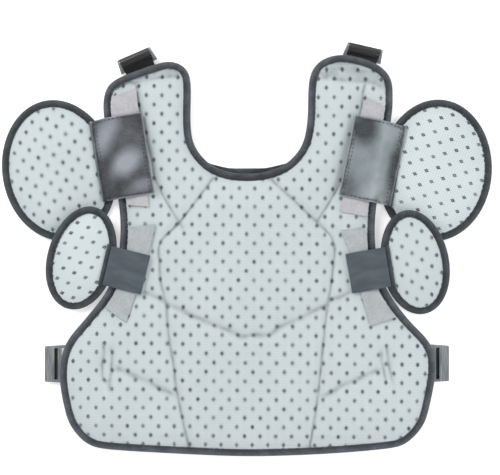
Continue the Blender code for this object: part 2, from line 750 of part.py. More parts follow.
def add_buckle(row, edge, outward, tilt, anchor, bar_height, supports):
    """A loop anchored under the vest and the buckle that it holds past the edge."""
    trees = [tree_of(obj) for obj in supports]
    bar = edge + outward * row.reach
    loop_height = lowest_over(edge - outward * anchor, outward, trees) - 2 * GAP - WEBBING_WALL - GAP / 2
    ring = loop_ring(row.name + "_loop_" + side_name(row.side), bar_height, anchor + row.reach, loop_height)
    lock = ladder_lock(row.name + "_buckle_" + side_name(row.side))
    heading = Matrix(((outward.x, -outward.y, 0), (outward.y, outward.x, 0), (0, 0, 1))).to_4x4()
    for obj, pitch in ((ring, 0), (lock, tilt)):
        turn = heading @ Matrix.Rotation(-radians(pitch), 4, "Y")
        obj.rotation_euler = turn.to_euler()
        obj.location = (bar.x, bar.y, bar_height)
    finished(ring, "black_webbing")
    finished(lock, "plastic")


def top_edge(loop, x):
    """The highest crossing of the loop over x."""
    ends = np.roll(loop, -1, axis=0)
    low, high = np.minimum(loop[:, 0], ends[:, 0]), np.maximum(loop[:, 0], ends[:, 0])
    hit = (low <= x) & (x < high)
    t = (x - loop[hit, 0]) / (ends[hit, 0] - loop[hit, 0])
    return (loop[hit, 1] + t * (ends[hit, 1] - loop[hit, 1])).max()


def add_shoulder_buckles(vest_loop, supports):
    """The bars hang just under the bent-up shoulder edge, and the buckles stand up from them."""
    trees = [tree_of(obj) for obj in supports]
    for row in SHOULDER_STRAPS:
        x = row.side * row.along * SHOULDER_SPAN / 2
        edge = Vector((x, top_edge(vest_loop, x), 0))
        way = radians(90 - row.side * row.lean)
        outward = Vector((cos(way), sin(way), 0))
        under = lowest_over(edge - outward * TAPE_COVER / 2, outward, trees)
        bar_height = under - BAR / 2 - WEBBING_WALL - BUCKLE_ROUNDING - 3 * GAP
        add_buckle(row, edge, outward, SHOULDER_TILT, SHOULDER_ANCHOR, bar_height, supports)


def add_hip_buckles(vest_loop, supports):
    """The buckles lie flat, half under the hip edges."""
    for row in HIP_STRAPS:
        height = row.along * WAIST_HEIGHT
        edge = Vector((row.side * edge_out(vest_loop, row.side, height), height, 0))
        outward = Vector((row.side, 0, 0))
        add_buckle(row, edge, outward, 0, HIP_ANCHOR, HIP_BAR_HEIGHT, supports)


def build():
    for obj in list(bpy.data.objects):
        bpy.data.objects.remove(obj)
    vest = vest_padding()
    vest_pad = finished(pad_solid("vest_pad", vest), "mesh")
    vest_tape = finished(tape_solid("vest_binding", vest), "tape")
    arm_pads = add_arm_pads(vest.loop)
    lower_pads = add_lower_pads(vest.loop, arm_pads)
    strips = add_strips(vest.loop, vest_pad)
    under_arm_tab = {s: [vest_pad, vest_tape, strips["upper", s]] + arm_pads[s] for s in (LEFT, RIGHT)}
    under_lower_tab = {s: [vest_pad, vest_tape, strips["lower", s]] + lower_pads[s] for s in (LEFT, RIGHT)}
    add_tabs(ARM_TABS, vest.loop, (ARM_TAB_LENGTH, ARM_TAB_HEIGHT), ARM_TAB_WALL, "leather", under_arm_tab)
    add_tabs(LOWER_TABS, vest.loop, (LOWER_TAB_LENGTH, LOWER_TAB_HEIGHT), LOWER_TAB_WALL, "webbing", under_lower_tab)
    add_collar(vest.loop, [vest_pad, vest_tape])
    add_shoulder_buckles(vest.loop, [vest_pad, vest_tape])
    add_hip_buckles(vest.loop, [vest_pad, vest_tape])
    stand_on_ground()


def stand_on_ground():
    """Hangs every piece on one frame that centres the whole over the origin, at height 0."""
    bpy.context.view_layer.update()
    pieces = list(bpy.context.scene.collection.objects)
    corners = np.array([obj.matrix_world @ v.co for obj in pieces for v in obj.data.vertices])
    low, high = corners.min(0), corners.max(0)
    frame = bpy.data.objects.new("protector_frame", None)
    bpy.context.scene.collection.objects.link(frame)
    for obj in pieces:
        obj.parent = frame
    frame.location = (-(low[0] + high[0]) / 2, -(low[1] + high[1]) / 2, -low[2])


build()
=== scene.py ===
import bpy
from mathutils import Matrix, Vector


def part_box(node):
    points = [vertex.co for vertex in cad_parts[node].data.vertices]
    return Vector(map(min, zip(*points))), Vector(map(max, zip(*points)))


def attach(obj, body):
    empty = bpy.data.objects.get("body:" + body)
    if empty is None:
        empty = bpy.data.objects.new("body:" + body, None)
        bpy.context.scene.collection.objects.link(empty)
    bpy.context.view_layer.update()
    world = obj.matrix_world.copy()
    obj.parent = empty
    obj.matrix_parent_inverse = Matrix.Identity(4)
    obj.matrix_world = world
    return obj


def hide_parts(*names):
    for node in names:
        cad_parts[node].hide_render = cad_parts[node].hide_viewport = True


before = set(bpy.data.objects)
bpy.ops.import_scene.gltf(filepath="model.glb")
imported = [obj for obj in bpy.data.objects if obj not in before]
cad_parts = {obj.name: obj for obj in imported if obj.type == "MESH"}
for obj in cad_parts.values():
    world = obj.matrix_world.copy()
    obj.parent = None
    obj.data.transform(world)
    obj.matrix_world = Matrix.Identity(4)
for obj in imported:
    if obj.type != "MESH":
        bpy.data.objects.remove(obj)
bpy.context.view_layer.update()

import math

import bmesh
import bpy
import numpy as np
from mathutils import Matrix, Vector, noise
from mathutils.bvhtree import BVHTree

mm = 0.001
up = Vector((0, 0, 1))
down = -up
body = "root"
sharpTurn = 1.0  # an edge between faces that turn more than this many radians is rounded

# Where the photograph's pixels lie on the model, seen straight from above
photo = {"wide": 500, "high": 475, "scale": 1.25 * mm, "axisX": 246.9, "axisY": 249.96}


def atPixel(x, y):
    return Vector(((x - photo["axisX"]) * photo["scale"], (photo["axisY"] - y) * photo["scale"], 0))


def ink(red, green, blue):
    # a screen colour as the linear colour that a shader takes
    def linear(level):
        share = level / 255
        return share / 12.92 if share <= 0.04045 else ((share + 0.055) / 1.055) ** 2.4
    return (linear(red), linear(green), linear(blue), 1)


# Shader maths

class Shade:
    # one output socket of a material, which plain arithmetic adds Math nodes to
    def __init__(self, finish, socket):
        self.finish = finish
        self.socket = socket

    def math(self, operation, first, second=0.0):
        return self.finish.add("ShaderNodeMath", {"operation": operation}, {0: first, 1: second})

    def __add__(self, other):
        return self.math("ADD", self, other)

    def __sub__(self, other):
        return self.math("SUBTRACT", self, other)

    def __rsub__(self, other):
        return self.math("SUBTRACT", other, self)

    def __mul__(self, other):
        return self.math("MULTIPLY", self, other)

    def __truediv__(self, other):
        return self.math("DIVIDE", self, other)

    def __abs__(self):
        return self.math("ABSOLUTE", self)

    __radd__ = __add__
    __rmul__ = __mul__

    def lower(self, other):
        return self.math("MINIMUM", self, other)

    def higher(self, other):
        return self.math("MAXIMUM", self, other)

    def wave(self, length):
        # 1 on each crest, -1 between them
        return self.math("COSINE", self * (2 * math.pi / length))

    def offNearest(self):
        # how far a number is from the nearest whole one
        return abs(self - self.math("ROUND", self))

    def rise(self, low, high):
        # 0 at low and 1 at high, whichever is more, with a soft step between them
        ends = (low, high, 0.0, 1.0) if low < high else (high, low, 1.0, 0.0)
        inputs = dict(enumerate([self, *ends]))
        return self.finish.add("ShaderNodeMapRange", {"interpolation_type": "SMOOTHSTEP"}, inputs)


class Finish:
    # one material: add makes any node and feed joins a result to the shader
    def __init__(self, name, **plain):
        self.material = bpy.data.materials.new(name)
        self.material.use_nodes = True
        self.tree = self.material.node_tree
        self.shader = self.tree.nodes["Principled BSDF"]
        for socket, value in plain.items():
            self.shader.inputs[socket.replace("_", " ")].default_value = value

    def add(self, kind, settings=None, inputs=None, output=0):
        node = self.tree.nodes.new(kind)
        for key, value in (settings or {}).items():
            if key == "stops":
                ramp = node.color_ramp
                while len(ramp.elements) < len(value):
                    ramp.elements.new(0.5)
                for element, (place, colour) in zip(ramp.elements, value):
                    element.position = place
                    element.color = colour
            else:
                setattr(node, key, value)
        for key, value in (inputs or {}).items():
            if isinstance(value, Shade):
                self.tree.links.new(value.socket, node.inputs[key])
            else:
                node.inputs[key].default_value = value
        return Shade(self, node.outputs[output])

    def feed(self, socket, value):
        self.tree.links.new(value.socket, self.shader.inputs[socket])

    def place(self, centre=(0, 0, 0), angle=0.0):
        # object coordinates, centred and turned on a piece
        coords = self.add("ShaderNodeTexCoord", output="Object")
        turn = {"Location": centre, "Rotation": (0, 0, angle), "Vector": coords}
        return self.add("ShaderNodeMapping", {"vector_type": "TEXTURE"}, turn)

    def surface(self):
        return self.add("ShaderNodeTexCoord", output="UV")

    def split(self, vector):
        return [self.add("ShaderNodeSeparateXYZ", None, {0: vector}, axis) for axis in range(3)]

    def spot(self, vector, centre, size, turn):
        # 1 in the middle of a soft oval patch, 0 past its edge
        oval = {"Location": (*centre, 0), "Rotation": (0, 0, turn), "Scale": (*size, 1), "Vector": vector}
        inside = self.add("ShaderNodeMapping", {"vector_type": "TEXTURE"}, oval)
        away = self.add("ShaderNodeVectorMath", {"operation": "LENGTH"}, {0: inside}, "Value")
        return away.rise(1.0, 0.1)

    def cloud(self, vector, size, detail=3.0, stretch=None):
        # noise from 0 to 1 whose patches are about one size across
        if stretch:
            vector = self.add("ShaderNodeMapping", None, {"Vector": vector, "Scale": stretch})
        inputs = {"Vector": vector, "Scale": 1 / size, "Detail": detail}
        return self.add("ShaderNodeTexNoise", None, inputs)

    def blend(self, factor, first, second):
        return self.add("ShaderNodeMix", {"data_type": "RGBA"}, {0: factor, 6: first, 7: second}, 2)

    def note(self, name):
        return self.add("ShaderNodeAttribute", {"attribute_name": name}, None, "Fac")

    def relief(self, height, depth):
        bump = {"Height": height, "Distance": depth, "Strength": 1.0}
        self.feed("Normal", self.add("ShaderNodeBump", None, bump))


# The light grey spacer mesh and its woven dots

knit = {
    "light": (222, 232, 233), "tint": (213, 223, 226), "hole": (128, 137, 142),
    # the crease colour is a painted shade colour for seams and creases
    "dot": (58, 66, 72), "crease": (66, 74, 80), "grey": 0.23, "open": 0.36,
    "eyeWide": 2.72 * mm, "eyeHigh": 3.38 * mm, "eyeDepth": 0.35 * mm,
    "pitch": 19.5 * mm, "rows": 22.9 * mm, "dotReach": 3.35 * mm, "dotSoft": 1.6 * mm,
}


def meshFabric(name, dotAt, angle, weave):
    finish = Finish(name, Roughness=0.82, Sheen_Weight=0.15, Sheen_Roughness=0.5)
    place = finish.place(tuple(dotAt), math.radians(angle))
    x, y, z = finish.split(place)
    eyes = x.wave(knit["eyeWide"]) * y.wave(knit["eyeHigh"])
    holes = eyes.rise(-0.55, 0.95) * 0.75 + y.wave(knit["eyeHigh"]).rise(-0.8, 1.0) * 0.25
    across = x / knit["pitch"]
    along = y / knit["rows"]
    first = across.offNearest() * knit["pitch"] + along.offNearest() * (knit["rows"] * 0.75)
    second = (across + 0.5).offNearest() * knit["pitch"] + (along + 0.5).offNearest() * (knit["rows"] * 0.75)
    near = first.lower(second)
    dots = near.rise(knit["dotReach"], knit["dotReach"] - knit["dotSoft"])
    patchy = finish.cloud(place, 17 * mm, 1.0)
    eye = near.rise(0.9 * mm, 0.2 * mm) * patchy.rise(0.42, 0.5)
    tone = dots * (0.68 + patchy.rise(0.3, 0.7) * 0.32) * (1 - eye * 0.65)
    tint = finish.cloud(place, 60 * mm, 2.0).rise(0.3, 0.7) * 0.5
    ground = finish.blend(tint, ink(*knit["light"]), ink(*knit["tint"]))
    ground = finish.blend((holes - knit["open"]) * weave + knit["grey"], ground, ink(*knit["hole"]))
    marked = finish.blend(tone, ground, ink(*knit["dot"]))
    speckle = finish.cloud(place, 3.2 * mm, 3.0).rise(0.35, 0.65)
    # painted shade along seams and creases and on the shoulder tops, from the note that quilt writes
    paintedCreaseShade = finish.note("crease") * (0.6 + 0.55 * speckle) + finish.note("crease") * dots
    marked = finish.blend(paintedCreaseShade.lower(0.95), marked, ink(*knit["crease"]))
    finish.feed("Base Color", marked)
    finish.feed("Roughness", 0.78 + holes * 0.15)
    finish.relief((1 - holes) * (1 - dots * 0.6), knit["eyeDepth"] * min(weave, 1.0))
    return finish


def coverCloth():
    # plain dark woven cover on the outer face
    finish = Finish("coverCloth", Roughness=0.7, Sheen_Weight=0.1)
    place = finish.place()
    x, y, z = finish.split(place)
    weave = x.wave(0.9 * mm) * y.wave(0.9 * mm)
    patch = finish.cloud(place, 40 * mm)
    tone = weave.rise(-1, 1) * 0.5 + patch * 0.3
    finish.feed("Base Color", finish.blend(tone, ink(34, 37, 42), ink(54, 58, 64)))
    finish.relief(weave, 0.12 * mm)
    return finish


tape = {
    "vest": {"dark": (32, 37, 43), "light": (96, 102, 111), "neck": 0.34},
    "pads": {"dark": (20, 25, 29), "light": (76, 85, 91), "neck": 0.0},
    "wide": 24 * mm, "rib": 1.5 * mm, "ribDepth": 0.22 * mm, "pucker": 0.8 * mm, "puckerLength": 7.5 * mm,
    "puckerDrift": 19 * mm, "puckerPatch": 30 * mm, "flatEdge": 2 * mm, "puckerRise": 5 * mm,
    "seamIn": 6.3 * mm, "seamStitch": 4.4 * mm, "thread": (10, 12, 15),
}


def ribbedTape(name, look):
    # grosgrain whose ribs cross the tape: the map runs along it, then in from its fold
    finish = Finish(name, Roughness=0.68, Sheen_Weight=0.25, Sheen_Roughness=0.4)
    place = finish.surface()
    run, inward, z = finish.split(place)
    ribs = run.wave(tape["rib"])
    patch = finish.cloud(place, 14 * mm, 4.0)
    fleck = finish.cloud(place, 1.5 * mm, 2.0, (1.0, 0.35, 1.0))
    # fold is a painted highlight along the tape's rounded outer fold, lightest at its outer edge
    fold = inward.rise(4.6 * mm, 1.0 * mm)
    tone = ribs.rise(-1, 1) * 0.3 + patch.rise(0.35, 0.7) * 0.32 + fleck.rise(0.45, 0.7) * 0.2 + fold * 0.3
    tone = tone - look["neck"] * finish.spot(finish.place(), (0, 115 * mm), (110 * mm, 190 * mm), 0)
    colour = finish.blend(tone, ink(*look["dark"]), ink(*look["light"]))
    dash = run.wave(tape["seamStitch"]).rise(-0.5, 0.1)
    seam = abs(inward - tape["seamIn"]).rise(1.0 * mm, 0.4 * mm) * dash
    finish.feed("Base Color", finish.blend(seam * 0.8, colour, ink(*tape["thread"])))
    finish.feed("Roughness", 0.78 - ribs.rise(-1, 1) * 0.15)
    finish.relief(ribs.rise(-1, 1) + fleck * 0.5, tape["ribDepth"])
    return finish


def collarCloth():
    finish = Finish("collarCloth", Roughness=0.75, Sheen_Weight=0.2)
    place = finish.place()
    x, y, z = finish.split(place)
    weave = x.wave(1.1 * mm) * y.wave(1.3 * mm)
    patch = finish.cloud(place, 9 * mm, 4.0, (0.35, 1.0, 1.0))
    tone = patch.rise(0.35, 0.65) * 0.7 + weave.rise(-1, 1) * 0.3
    finish.feed("Base Color", finish.blend(tone, ink(24, 29, 34), ink(76, 85, 92)))
    finish.relief(weave.rise(-1, 1) * 0.4 + patch, 0.5 * mm)
    return finish


def loopPile(name, light, shadow):
    # brushed loops of a fastening strip
    finish = Finish(name, Roughness=0.95, Sheen_Weight=0.35, Sheen_Roughness=0.6)
    place = finish.surface()
    fuzz = finish.cloud(place, 1.1 * mm, 5.0)
    patch = finish.cloud(place, 16 * mm, 3.0)
    lint = finish.cloud(place, 3.5 * mm, 4.0)
    tone = fuzz.rise(0.35, 0.7) * 0.45 + patch.rise(0.3, 0.7) * 0.3 + lint.rise(0.4, 0.65) * 0.25
    colour = finish.blend(tone, ink(*shadow), ink(*light))
    # painted shade from the note that quilt writes, which is zero on every strip
    colour = finish.blend(finish.note("crease") * 0.6, colour, ink(128, 132, 136))
    finish.feed("Base Color", colour)
    finish.relief(fuzz + lint * 0.4, 0.55 * mm)
    return finish


# Each painted reflection patch: its middle, half sizes and turn on the tab, in mm and degrees, and how light
# it is
leather = {
    # each look's light colour is its painted highlight colour, and its next number is a base level of painted
    # sheen over the whole tab; Left and Right are one leather with different painted reflections
    "Left": {"dark": (17, 21, 27), "light": (146, 150, 160), "paintedSheenBase": 0.02,
             "paintedReflections": [(-17, 31, 21, 40, -32, 0.8), (5, -7, 33, 21, 35, 0.95), (21, -39, 24, 13, 10, 0.5)]},
    "Right": {"dark": (30, 38, 43), "light": (146, 157, 161), "paintedSheenBase": 0.6,
              "paintedReflections": [(-18, 36, 28, 34, -15, -0.8), (28, -2, 13, 52, 0, -0.75),
                          (-25, -38, 20, 30, 0, -0.45), (17, 41, 22, 18, 0, 0.3), (4, -38, 20, 16, 0, 0.25)]},
    "Welt": {"dark": (16, 20, 24), "light": (70, 78, 84), "paintedSheenBase": 0.1, "paintedReflections": []},
    # rim is the colour of the painted highlight on rolled rims
    "rim": (132, 141, 148), "seam": (14, 17, 21),
}


def leatherette(name, look):
    # coated leather with painted soft reflection patches, fine grain, a painted highlight on its rolled rim
    # and dark seams
    finish = Finish(name, Roughness=0.34, Coat_Weight=0.35, Coat_Roughness=0.22)
    place = finish.surface()
    grain = finish.add("ShaderNodeTexVoronoi", None, {"Vector": place, "Scale": 1 / (0.9 * mm)}, "Distance")
    mottle = finish.cloud(place, 2.2 * mm, 3.0)
    # painted sheen standing in for reflections: a soft cloud and a base level, then the painted reflection
    # patches
    paintedSheen = finish.cloud(place, 26 * mm, 2.0).rise(0.3, 0.7) * 0.2 + look["paintedSheenBase"]
    for x, y, wide, high, turn, tone in look["paintedReflections"]:
        size = (wide * mm, high * mm)
        paintedSheen = paintedSheen + tone * finish.spot(place, (x * mm, y * mm), size, math.radians(turn))
    paintedSheen = paintedSheen.lower(1.0).higher(0.0)
    paintedSheenAndMottle = paintedSheen * 0.92 + mottle.rise(0.3, 0.7) * 0.08
    # the colour runs from the dark leather to the painted highlight colour where the painted sheen is high
    colour = finish.blend(paintedSheenAndMottle, ink(*look["dark"]), ink(*look["light"]))
    # painted highlight on the rolled rim, from the edge note
    colour = finish.blend(finish.note("edge") * 0.85, colour, ink(*leather["rim"]))
    colour = finish.blend(finish.note("seam") * 0.75, colour, ink(*leather["seam"]))
    finish.feed("Base Color", colour)
    finish.feed("Roughness", 0.42 - paintedSheen * 0.12 + mottle * 0.1)
    finish.relief(grain.rise(0.0, 0.6) * 0.35 + mottle * 0.4, 0.10 * mm)
    return finish


def wovenWebbing(name, dark, light, rib):
    # flat webbing: ribs across it and fine yarn along it
    finish = Finish(name, Roughness=0.72, Sheen_Weight=0.2)
    place = finish.surface()
    run, across, z = finish.split(place)
    ribs = run.wave(rib)
    yarn = across.wave(rib * 0.8) * (run + 0.5 * rib).wave(rib * 2)
    patch = finish.cloud(place, 12 * mm, 3.0, (0.3, 1.0, 1.0))
    tone = ribs.rise(-1, 1) * 0.3 + yarn.rise(-1, 1) * 0.25 + patch.rise(0.3, 0.7) * 0.45
    finish.feed("Base Color", finish.blend(tone, ink(*dark), ink(*light)))
    finish.relief(ribs.rise(-1, 1) * 0.7 + yarn.rise(-1, 1) * 0.3, 0.18 * mm)
    return finish


def mouldedPlastic(name, dark, light, roughness):
    # moulded buckle plastic with faint drag lines along its bars
    finish = Finish(name, Roughness=roughness, Coat_Weight=0.3, Coat_Roughness=0.15)
    place = finish.surface()
    streak = finish.cloud(place, 1.3 * mm, 3.0, (1.0, 0.05, 1.0))
    speck = finish.cloud(place, 0.8 * mm, 2.0)
    finish.feed("Base Color", finish.blend(streak.rise(0.35, 0.68), ink(*dark), ink(*light)))
    finish.feed("Roughness", roughness + 0.15 * streak)
    finish.relief(streak * 0.7 + speck * 0.3, 0.08 * mm)
    return finish


def thread(name, colour):
    finish = Finish(name, Roughness=0.6, Sheen_Weight=0.3)
    place = finish.place()
    twist = finish.cloud(place, 0.5 * mm, 2.0)
    red, green, blue = colour
    finish.feed("Base Color", finish.blend(twist, ink(*colour), ink(red + 22, green + 22, blue + 24)))
    finish.relief(twist, 0.05 * mm)
    return finish


# Mesh helpers

def nodeCopy(node):
    # a CAD node's mesh with its loose triangles joined up
    bm = bmesh.new()
    bm.from_mesh(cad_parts[node].data)
    bmesh.ops.remove_doubles(bm, verts=bm.verts, dist=0.02 * mm)
    bm.normal_update()
    return bm


def stand(name, data):
    thing = bpy.data.objects.new(name, data)
    bpy.context.collection.objects.link(thing)
    return thing


def plainObject(bm, name, *finishes):
    mesh = bpy.data.meshes.new(name)
    bm.to_mesh(mesh)
    bm.free()
    for finish in finishes:
        mesh.materials.append(finish.material)
    return stand(name, mesh)


def makePiece(bm, name, slotName, *finishes):
    piece = plainObject(bm, name, *finishes)
    piece.data.shade_smooth()
    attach(piece, body)
    return piece


def settle(piece):
    # turns a piece's modifiers into plain mesh
    graph = bpy.context.evaluated_depsgraph_get()
    mesh = bpy.data.meshes.new_from_object(piece.evaluated_get(graph))
    piece.modifiers.clear()
    old = piece.data
    piece.data = mesh
    bpy.data.meshes.remove(old)


def liftFaces(bm, faces, height):
    verts = {vert for face in faces for vert in face.verts}
    bmesh.ops.translate(bm, vec=(0, 0, height), verts=list(verts))


def smoothHeights(bm, verts, rounds):
    for step in range(rounds):
        bmesh.ops.smooth_vert(bm, verts=verts, factor=0.5, use_axis_x=False, use_axis_y=False,
                              use_axis_z=True)


def roundEdges(bm, edges, offset, segments=2):
    bmesh.ops.bevel(bm, geom=edges, offset=offset, affect="EDGES", segments=segments, profile=0.5,
                    material=-1)


def vectorsOf(items, kind):
    flat = np.empty(len(items) * 3, np.float32)
    items.foreach_get(kind, flat)
    return flat.reshape(-1, 3).astype(float)


def points(piece):
    return vectorsOf(piece.data.vertices, "co")


def normals(piece):
    return vectorsOf(piece.data.vertex_normals, "vector")


def movePoints(piece, places):
    piece.data.vertices.foreach_set("co", np.ascontiguousarray(places, np.float32).ravel())
    piece.data.update()


def addNote(piece, name, values):
    # a number on each point, which a material reads
    layer = piece.data.attributes.new(name, "FLOAT", "POINT")
    layer.data.foreach_set("value", np.ascontiguousarray(values, np.float32))


def nodeTree(node):
    bm = nodeCopy(node)
    tree = BVHTree.FromBMesh(bm)
    bm.free()
    return tree


def pieceTree(piece):
    graph = bpy.context.evaluated_depsgraph_get()
    return BVHTree.FromObject(piece, graph)


def pixelLine(corners, step=2 * mm):
    # a Catmull-Rom curve through pixels of the photograph, cut into short steps
    line = [atPixel(x, y).to_2d() for x, y in corners]
    ends = line[:1] + line + line[-1:]
    rough = []
    for before, start, end, after in zip(ends, ends[1:], ends[2:], ends[3:]):
        count = max(2, int((end - start).length / step))
        for part in range(count):
            t = part / count
            rough.append(0.5 * (2 * start + (end - before) * t
                                + (2 * before - 5 * start + 4 * end - after) * t * t
                                + (3 * start - before - 3 * end + after) * t * t * t))
    rough.append(line[-1])
    return np.array([tuple(point) for point in rough])


def alongLine(places, line, closed=False):
    # for each place: how far it is from a line, and how far along the line that is
    ends = np.vstack([line, line[:1]]) if closed else line
    best = np.full(len(places), np.inf)
    run = np.zeros(len(places))
    travelled = 0.0
    for start, end in zip(ends, ends[1:]):
        edge = end - start
        length = float(np.hypot(*edge))
        if length == 0:
            continue
        share = np.clip(((places - start) @ edge) / length ** 2, 0, 1)
        gap = np.hypot(*(places - start - share[:, None] * edge).T)
        closer = gap < best
        best[closer] = gap[closer]
        run[closer] = travelled + share[closer] * length
        travelled += length
    return best, run, travelled


def ripple(places, size, seed=0.0):
    # smooth noise from about -1 to 1, the same on each run
    return np.array([noise.noise(Vector((x / size, y / size, seed))) for x, y in places])


# Padding: how fine each pad is cut, how far it may swell, and where its dots and its held pieces are

armPadding = {"voxel": 2.2 * mm, "slim": 0.2 * mm, "cap": 3 * mm, "fill": 0.6}
lowerPadding = {"voxel": 2.0 * mm, "slim": 0.2 * mm, "cap": 2.5 * mm, "fill": 0.6}
pads = {
    "vest": {"voxel": 4.4 * mm, "slim": 0.4 * mm, "cap": 5 * mm, "fill": 0.7,
             "dotAt": atPixel(239.3, 188.3), "turn": -0.6, "weave": 1.5},
    "armLeft": {**armPadding, "dotAt": atPixel(49.8, 136.6), "turn": 10.7, "weave": 1.4},
    "armRight": {**armPadding, "dotAt": atPixel(428.7, 145.5), "turn": 64.5, "weave": 0.42},
    "lowerLeft": {**lowerPadding, "dotAt": atPixel(76.1, 247.8), "turn": -72.7, "weave": 0.5},
    "lowerRight": {**lowerPadding, "dotAt": atPixel(411.6, 253.1), "turn": 16.8, "weave": 1.2},
}
pads["vest"]["node"] = "vest_pad"
pads["vest"]["held"] = ["vest_binding", "collar_pad"]
heldParts = {"vest": ("loop_strip_upper", "loop_strip_lower", "arm_tab", "lower_tab"),
             "arm": ("arm_binding", "arm_tab", "lower_pad", "lower_binding"),
             "lower": ("lower_binding", "lower_tab")}
for side in ("left", "right"):
    pads["vest"]["held"] += [f"{part}_{side}" for part in heldParts["vest"]]
    for kind in ("arm", "lower"):
        pads[kind + side.title()]["node"] = f"{kind}_pad_{side}"
        pads[kind + side.title()]["held"] = [f"{part}_{side}" for part in heldParts[kind]]
swelling = {"pressure": 4.0, "quality": 5, "frames": 20, "freeAbove": 0.2, "smoothAbove": 0.3, "smoothing": 3}


def underNodes(places, nodes, margin=2 * mm):
    # which places lie under one of these nodes, or within a margin of it
    covered = np.zeros(len(places), bool)
    for node in nodes:
        tree = nodeTree(node)
        low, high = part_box(node)
        close = ((places[:, 0] > low[0] - margin) & (places[:, 0] < high[0] + margin)
                 & (places[:, 1] > low[1] - margin) & (places[:, 1] < high[1] + margin))
        for index in np.flatnonzero(close & ~covered):
            x, y = places[index, :2]
            for stepX, stepY in ((0, 0), (margin, 0), (-margin, 0), (0, margin), (0, -margin)):
                if tree.ray_cast(Vector((x + stepX, y + stepY, -1)), up)[0]:
                    covered[index] = True
                    break
    return covered


def billow(piece, settings):
    # swells the body side with cloth pressure, held where something is sewn on and underneath
    start = points(piece)
    held = underNodes(start, settings["held"]) | (normals(piece)[:, 2] < swelling["freeAbove"])
    group = piece.vertex_groups.new(name="held")
    group.add([int(index) for index in np.flatnonzero(held)], 1.0, "REPLACE")
    cloth = piece.modifiers.new("cloth", "CLOTH")
    cloth.settings.use_pressure = True
    cloth.settings.uniform_pressure_force = swelling["pressure"]
    cloth.settings.effector_weights.gravity = 0
    cloth.settings.vertex_group_mass = group.name
    cloth.settings.quality = swelling["quality"]
    cloth.point_cache.frame_start = 1
    cloth.point_cache.frame_end = swelling["frames"]
    scene = bpy.context.scene
    for number in range(swelling["frames"]):
        scene.frame_set(number + 1)
    graph = bpy.context.evaluated_depsgraph_get()
    moved = points(piece.evaluated_get(graph)) - start
    piece.modifiers.clear()
    piece.vertex_groups.clear()
    scene.frame_set(1)
    far = np.linalg.norm(moved, axis=1)
    share = np.where(far > 0, settings["cap"] * np.tanh(far / settings["cap"]) / np.maximum(far, 1e-9), 0)
    movePoints(piece, start + moved * share[:, None])
    print(f"{piece.name}: swelled by up to {far.max() / mm:.1f} mm, capped at {settings['cap'] / mm:.1f}")


def padding(name, settings, cover):
    bm = nodeCopy(settings["node"])
    fabric = meshFabric(name + "Fabric", settings["dotAt"], settings["turn"], settings["weave"])
    piece = makePiece(bm, name, "mesh_fabric", fabric, cover)
    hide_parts(settings["node"])
    remesh = piece.modifiers.new("even", "REMESH")
    remesh.mode = "VOXEL"
    remesh.voxel_size = settings["voxel"]
    settle(piece)
    bm = bmesh.new()
    bm.from_mesh(piece.data)
    above = [vert for vert in bm.verts if vert.normal.z > swelling["smoothAbove"]]
    smoothHeights(bm, above, swelling["smoothing"])
    bm.to_mesh(piece.data)
    bm.free()
    piece.data.update()
    places = points(piece)
    sunk = np.clip(normals(piece)[:, 2], 0, 1) * settings["slim"]
    places[:, 2] -= sunk
    movePoints(piece, places)
    billow(piece, settings)
    finer = piece.modifiers.new("finer", "SUBSURF")
    finer.levels = finer.render_levels = 1
    settle(piece)
    piece.data.shade_smooth()
    return piece


# The vest's quilting lines, as pixels of the photograph, from the top down
quilting = {
    "panelLeft": [(213, 178), (183, 218), (166, 235.5), (160.5, 242), (158.3, 251), (159.4, 262),
                  (160.5, 280), (163.8, 294), (166.5, 307), (167.5, 324.5), (170, 345), (173.2, 362),
                  (176, 386), (182.4, 419), (188.7, 447), (191, 455)],
    "panelRight": [(272, 180), (303, 209), (318, 223), (329, 234), (333.5, 242), (335, 251), (333, 268),
                   (331, 285), (327, 310), (323, 345), (318, 395), (311, 440), (308.5, 456)],
    "chestLeft": [(136, 83), (137.6, 94), (139, 104), (145, 134), (152, 162), (153.7, 175), (158.9, 187),
                  (163.5, 196.5), (172, 211), (183, 228.5)],
    "chestRight": [(364.6, 85), (362.8, 94), (361, 110), (351, 149), (341.6, 180), (336, 191), (326, 208),
                   (317, 222)],
}
creases = {
    "belly": [(141, 292), (150, 294), (160.5, 298.5), (168, 304), (181, 309.4), (191, 315), (202, 319.5),
              (214, 325), (228.8, 330), (238.6, 335.3), (245, 336.4), (253, 334.8), (269, 334.8),
              (278, 327.7), (290, 322.3), (300.7, 318), (313.8, 310.4), (324.6, 306), (330, 300.6),
              (341, 296.3), (352.8, 291)],
    "hipLeft": [(114, 366.4), (125.7, 371.6), (137.6, 377), (149.5, 382), (160, 388), (174.5, 394.6)],
    "hipRight": [(380.3, 369.4), (365, 374.8), (354.2, 380.3), (340, 385.7), (331.5, 392.2), (321.7, 395.4)],
    "shoulderLeft": [(113.5, 90.8), (121, 85), (129, 82.8), (135.9, 82.8), (149.7, 79.4), (163.5, 77),
                     (173.8, 76), (181.8, 77)],
    "shoulderRight": [(319.2, 77), (331.8, 78.8), (343.3, 80.5), (361.7, 81.7), (372, 82.8), (383.5, 87.4)],
    "foldRight": [(336.4, 70.2), (346.8, 67.9), (365, 72.5), (376.6, 74.8)],
}
anchors = {
    "outerLeft": [(102.6, 342.5), (104.9, 351.7), (102.6, 362), (103, 378)],
    "innerLeft": [(110.6, 347), (112.3, 355), (111.8, 365), (111.2, 373.5), (108.9, 390.7)],
    "footLeft": [(102.6, 379), (106, 381.5), (111, 379)],
    "innerRight": [(380.8, 350), (381.3, 360.7), (383.5, 370.5), (386.2, 383.5)],
    "outerRight": [(386.2, 345.6), (387.9, 360.7), (389.5, 369.4), (392.2, 383.5)],
}
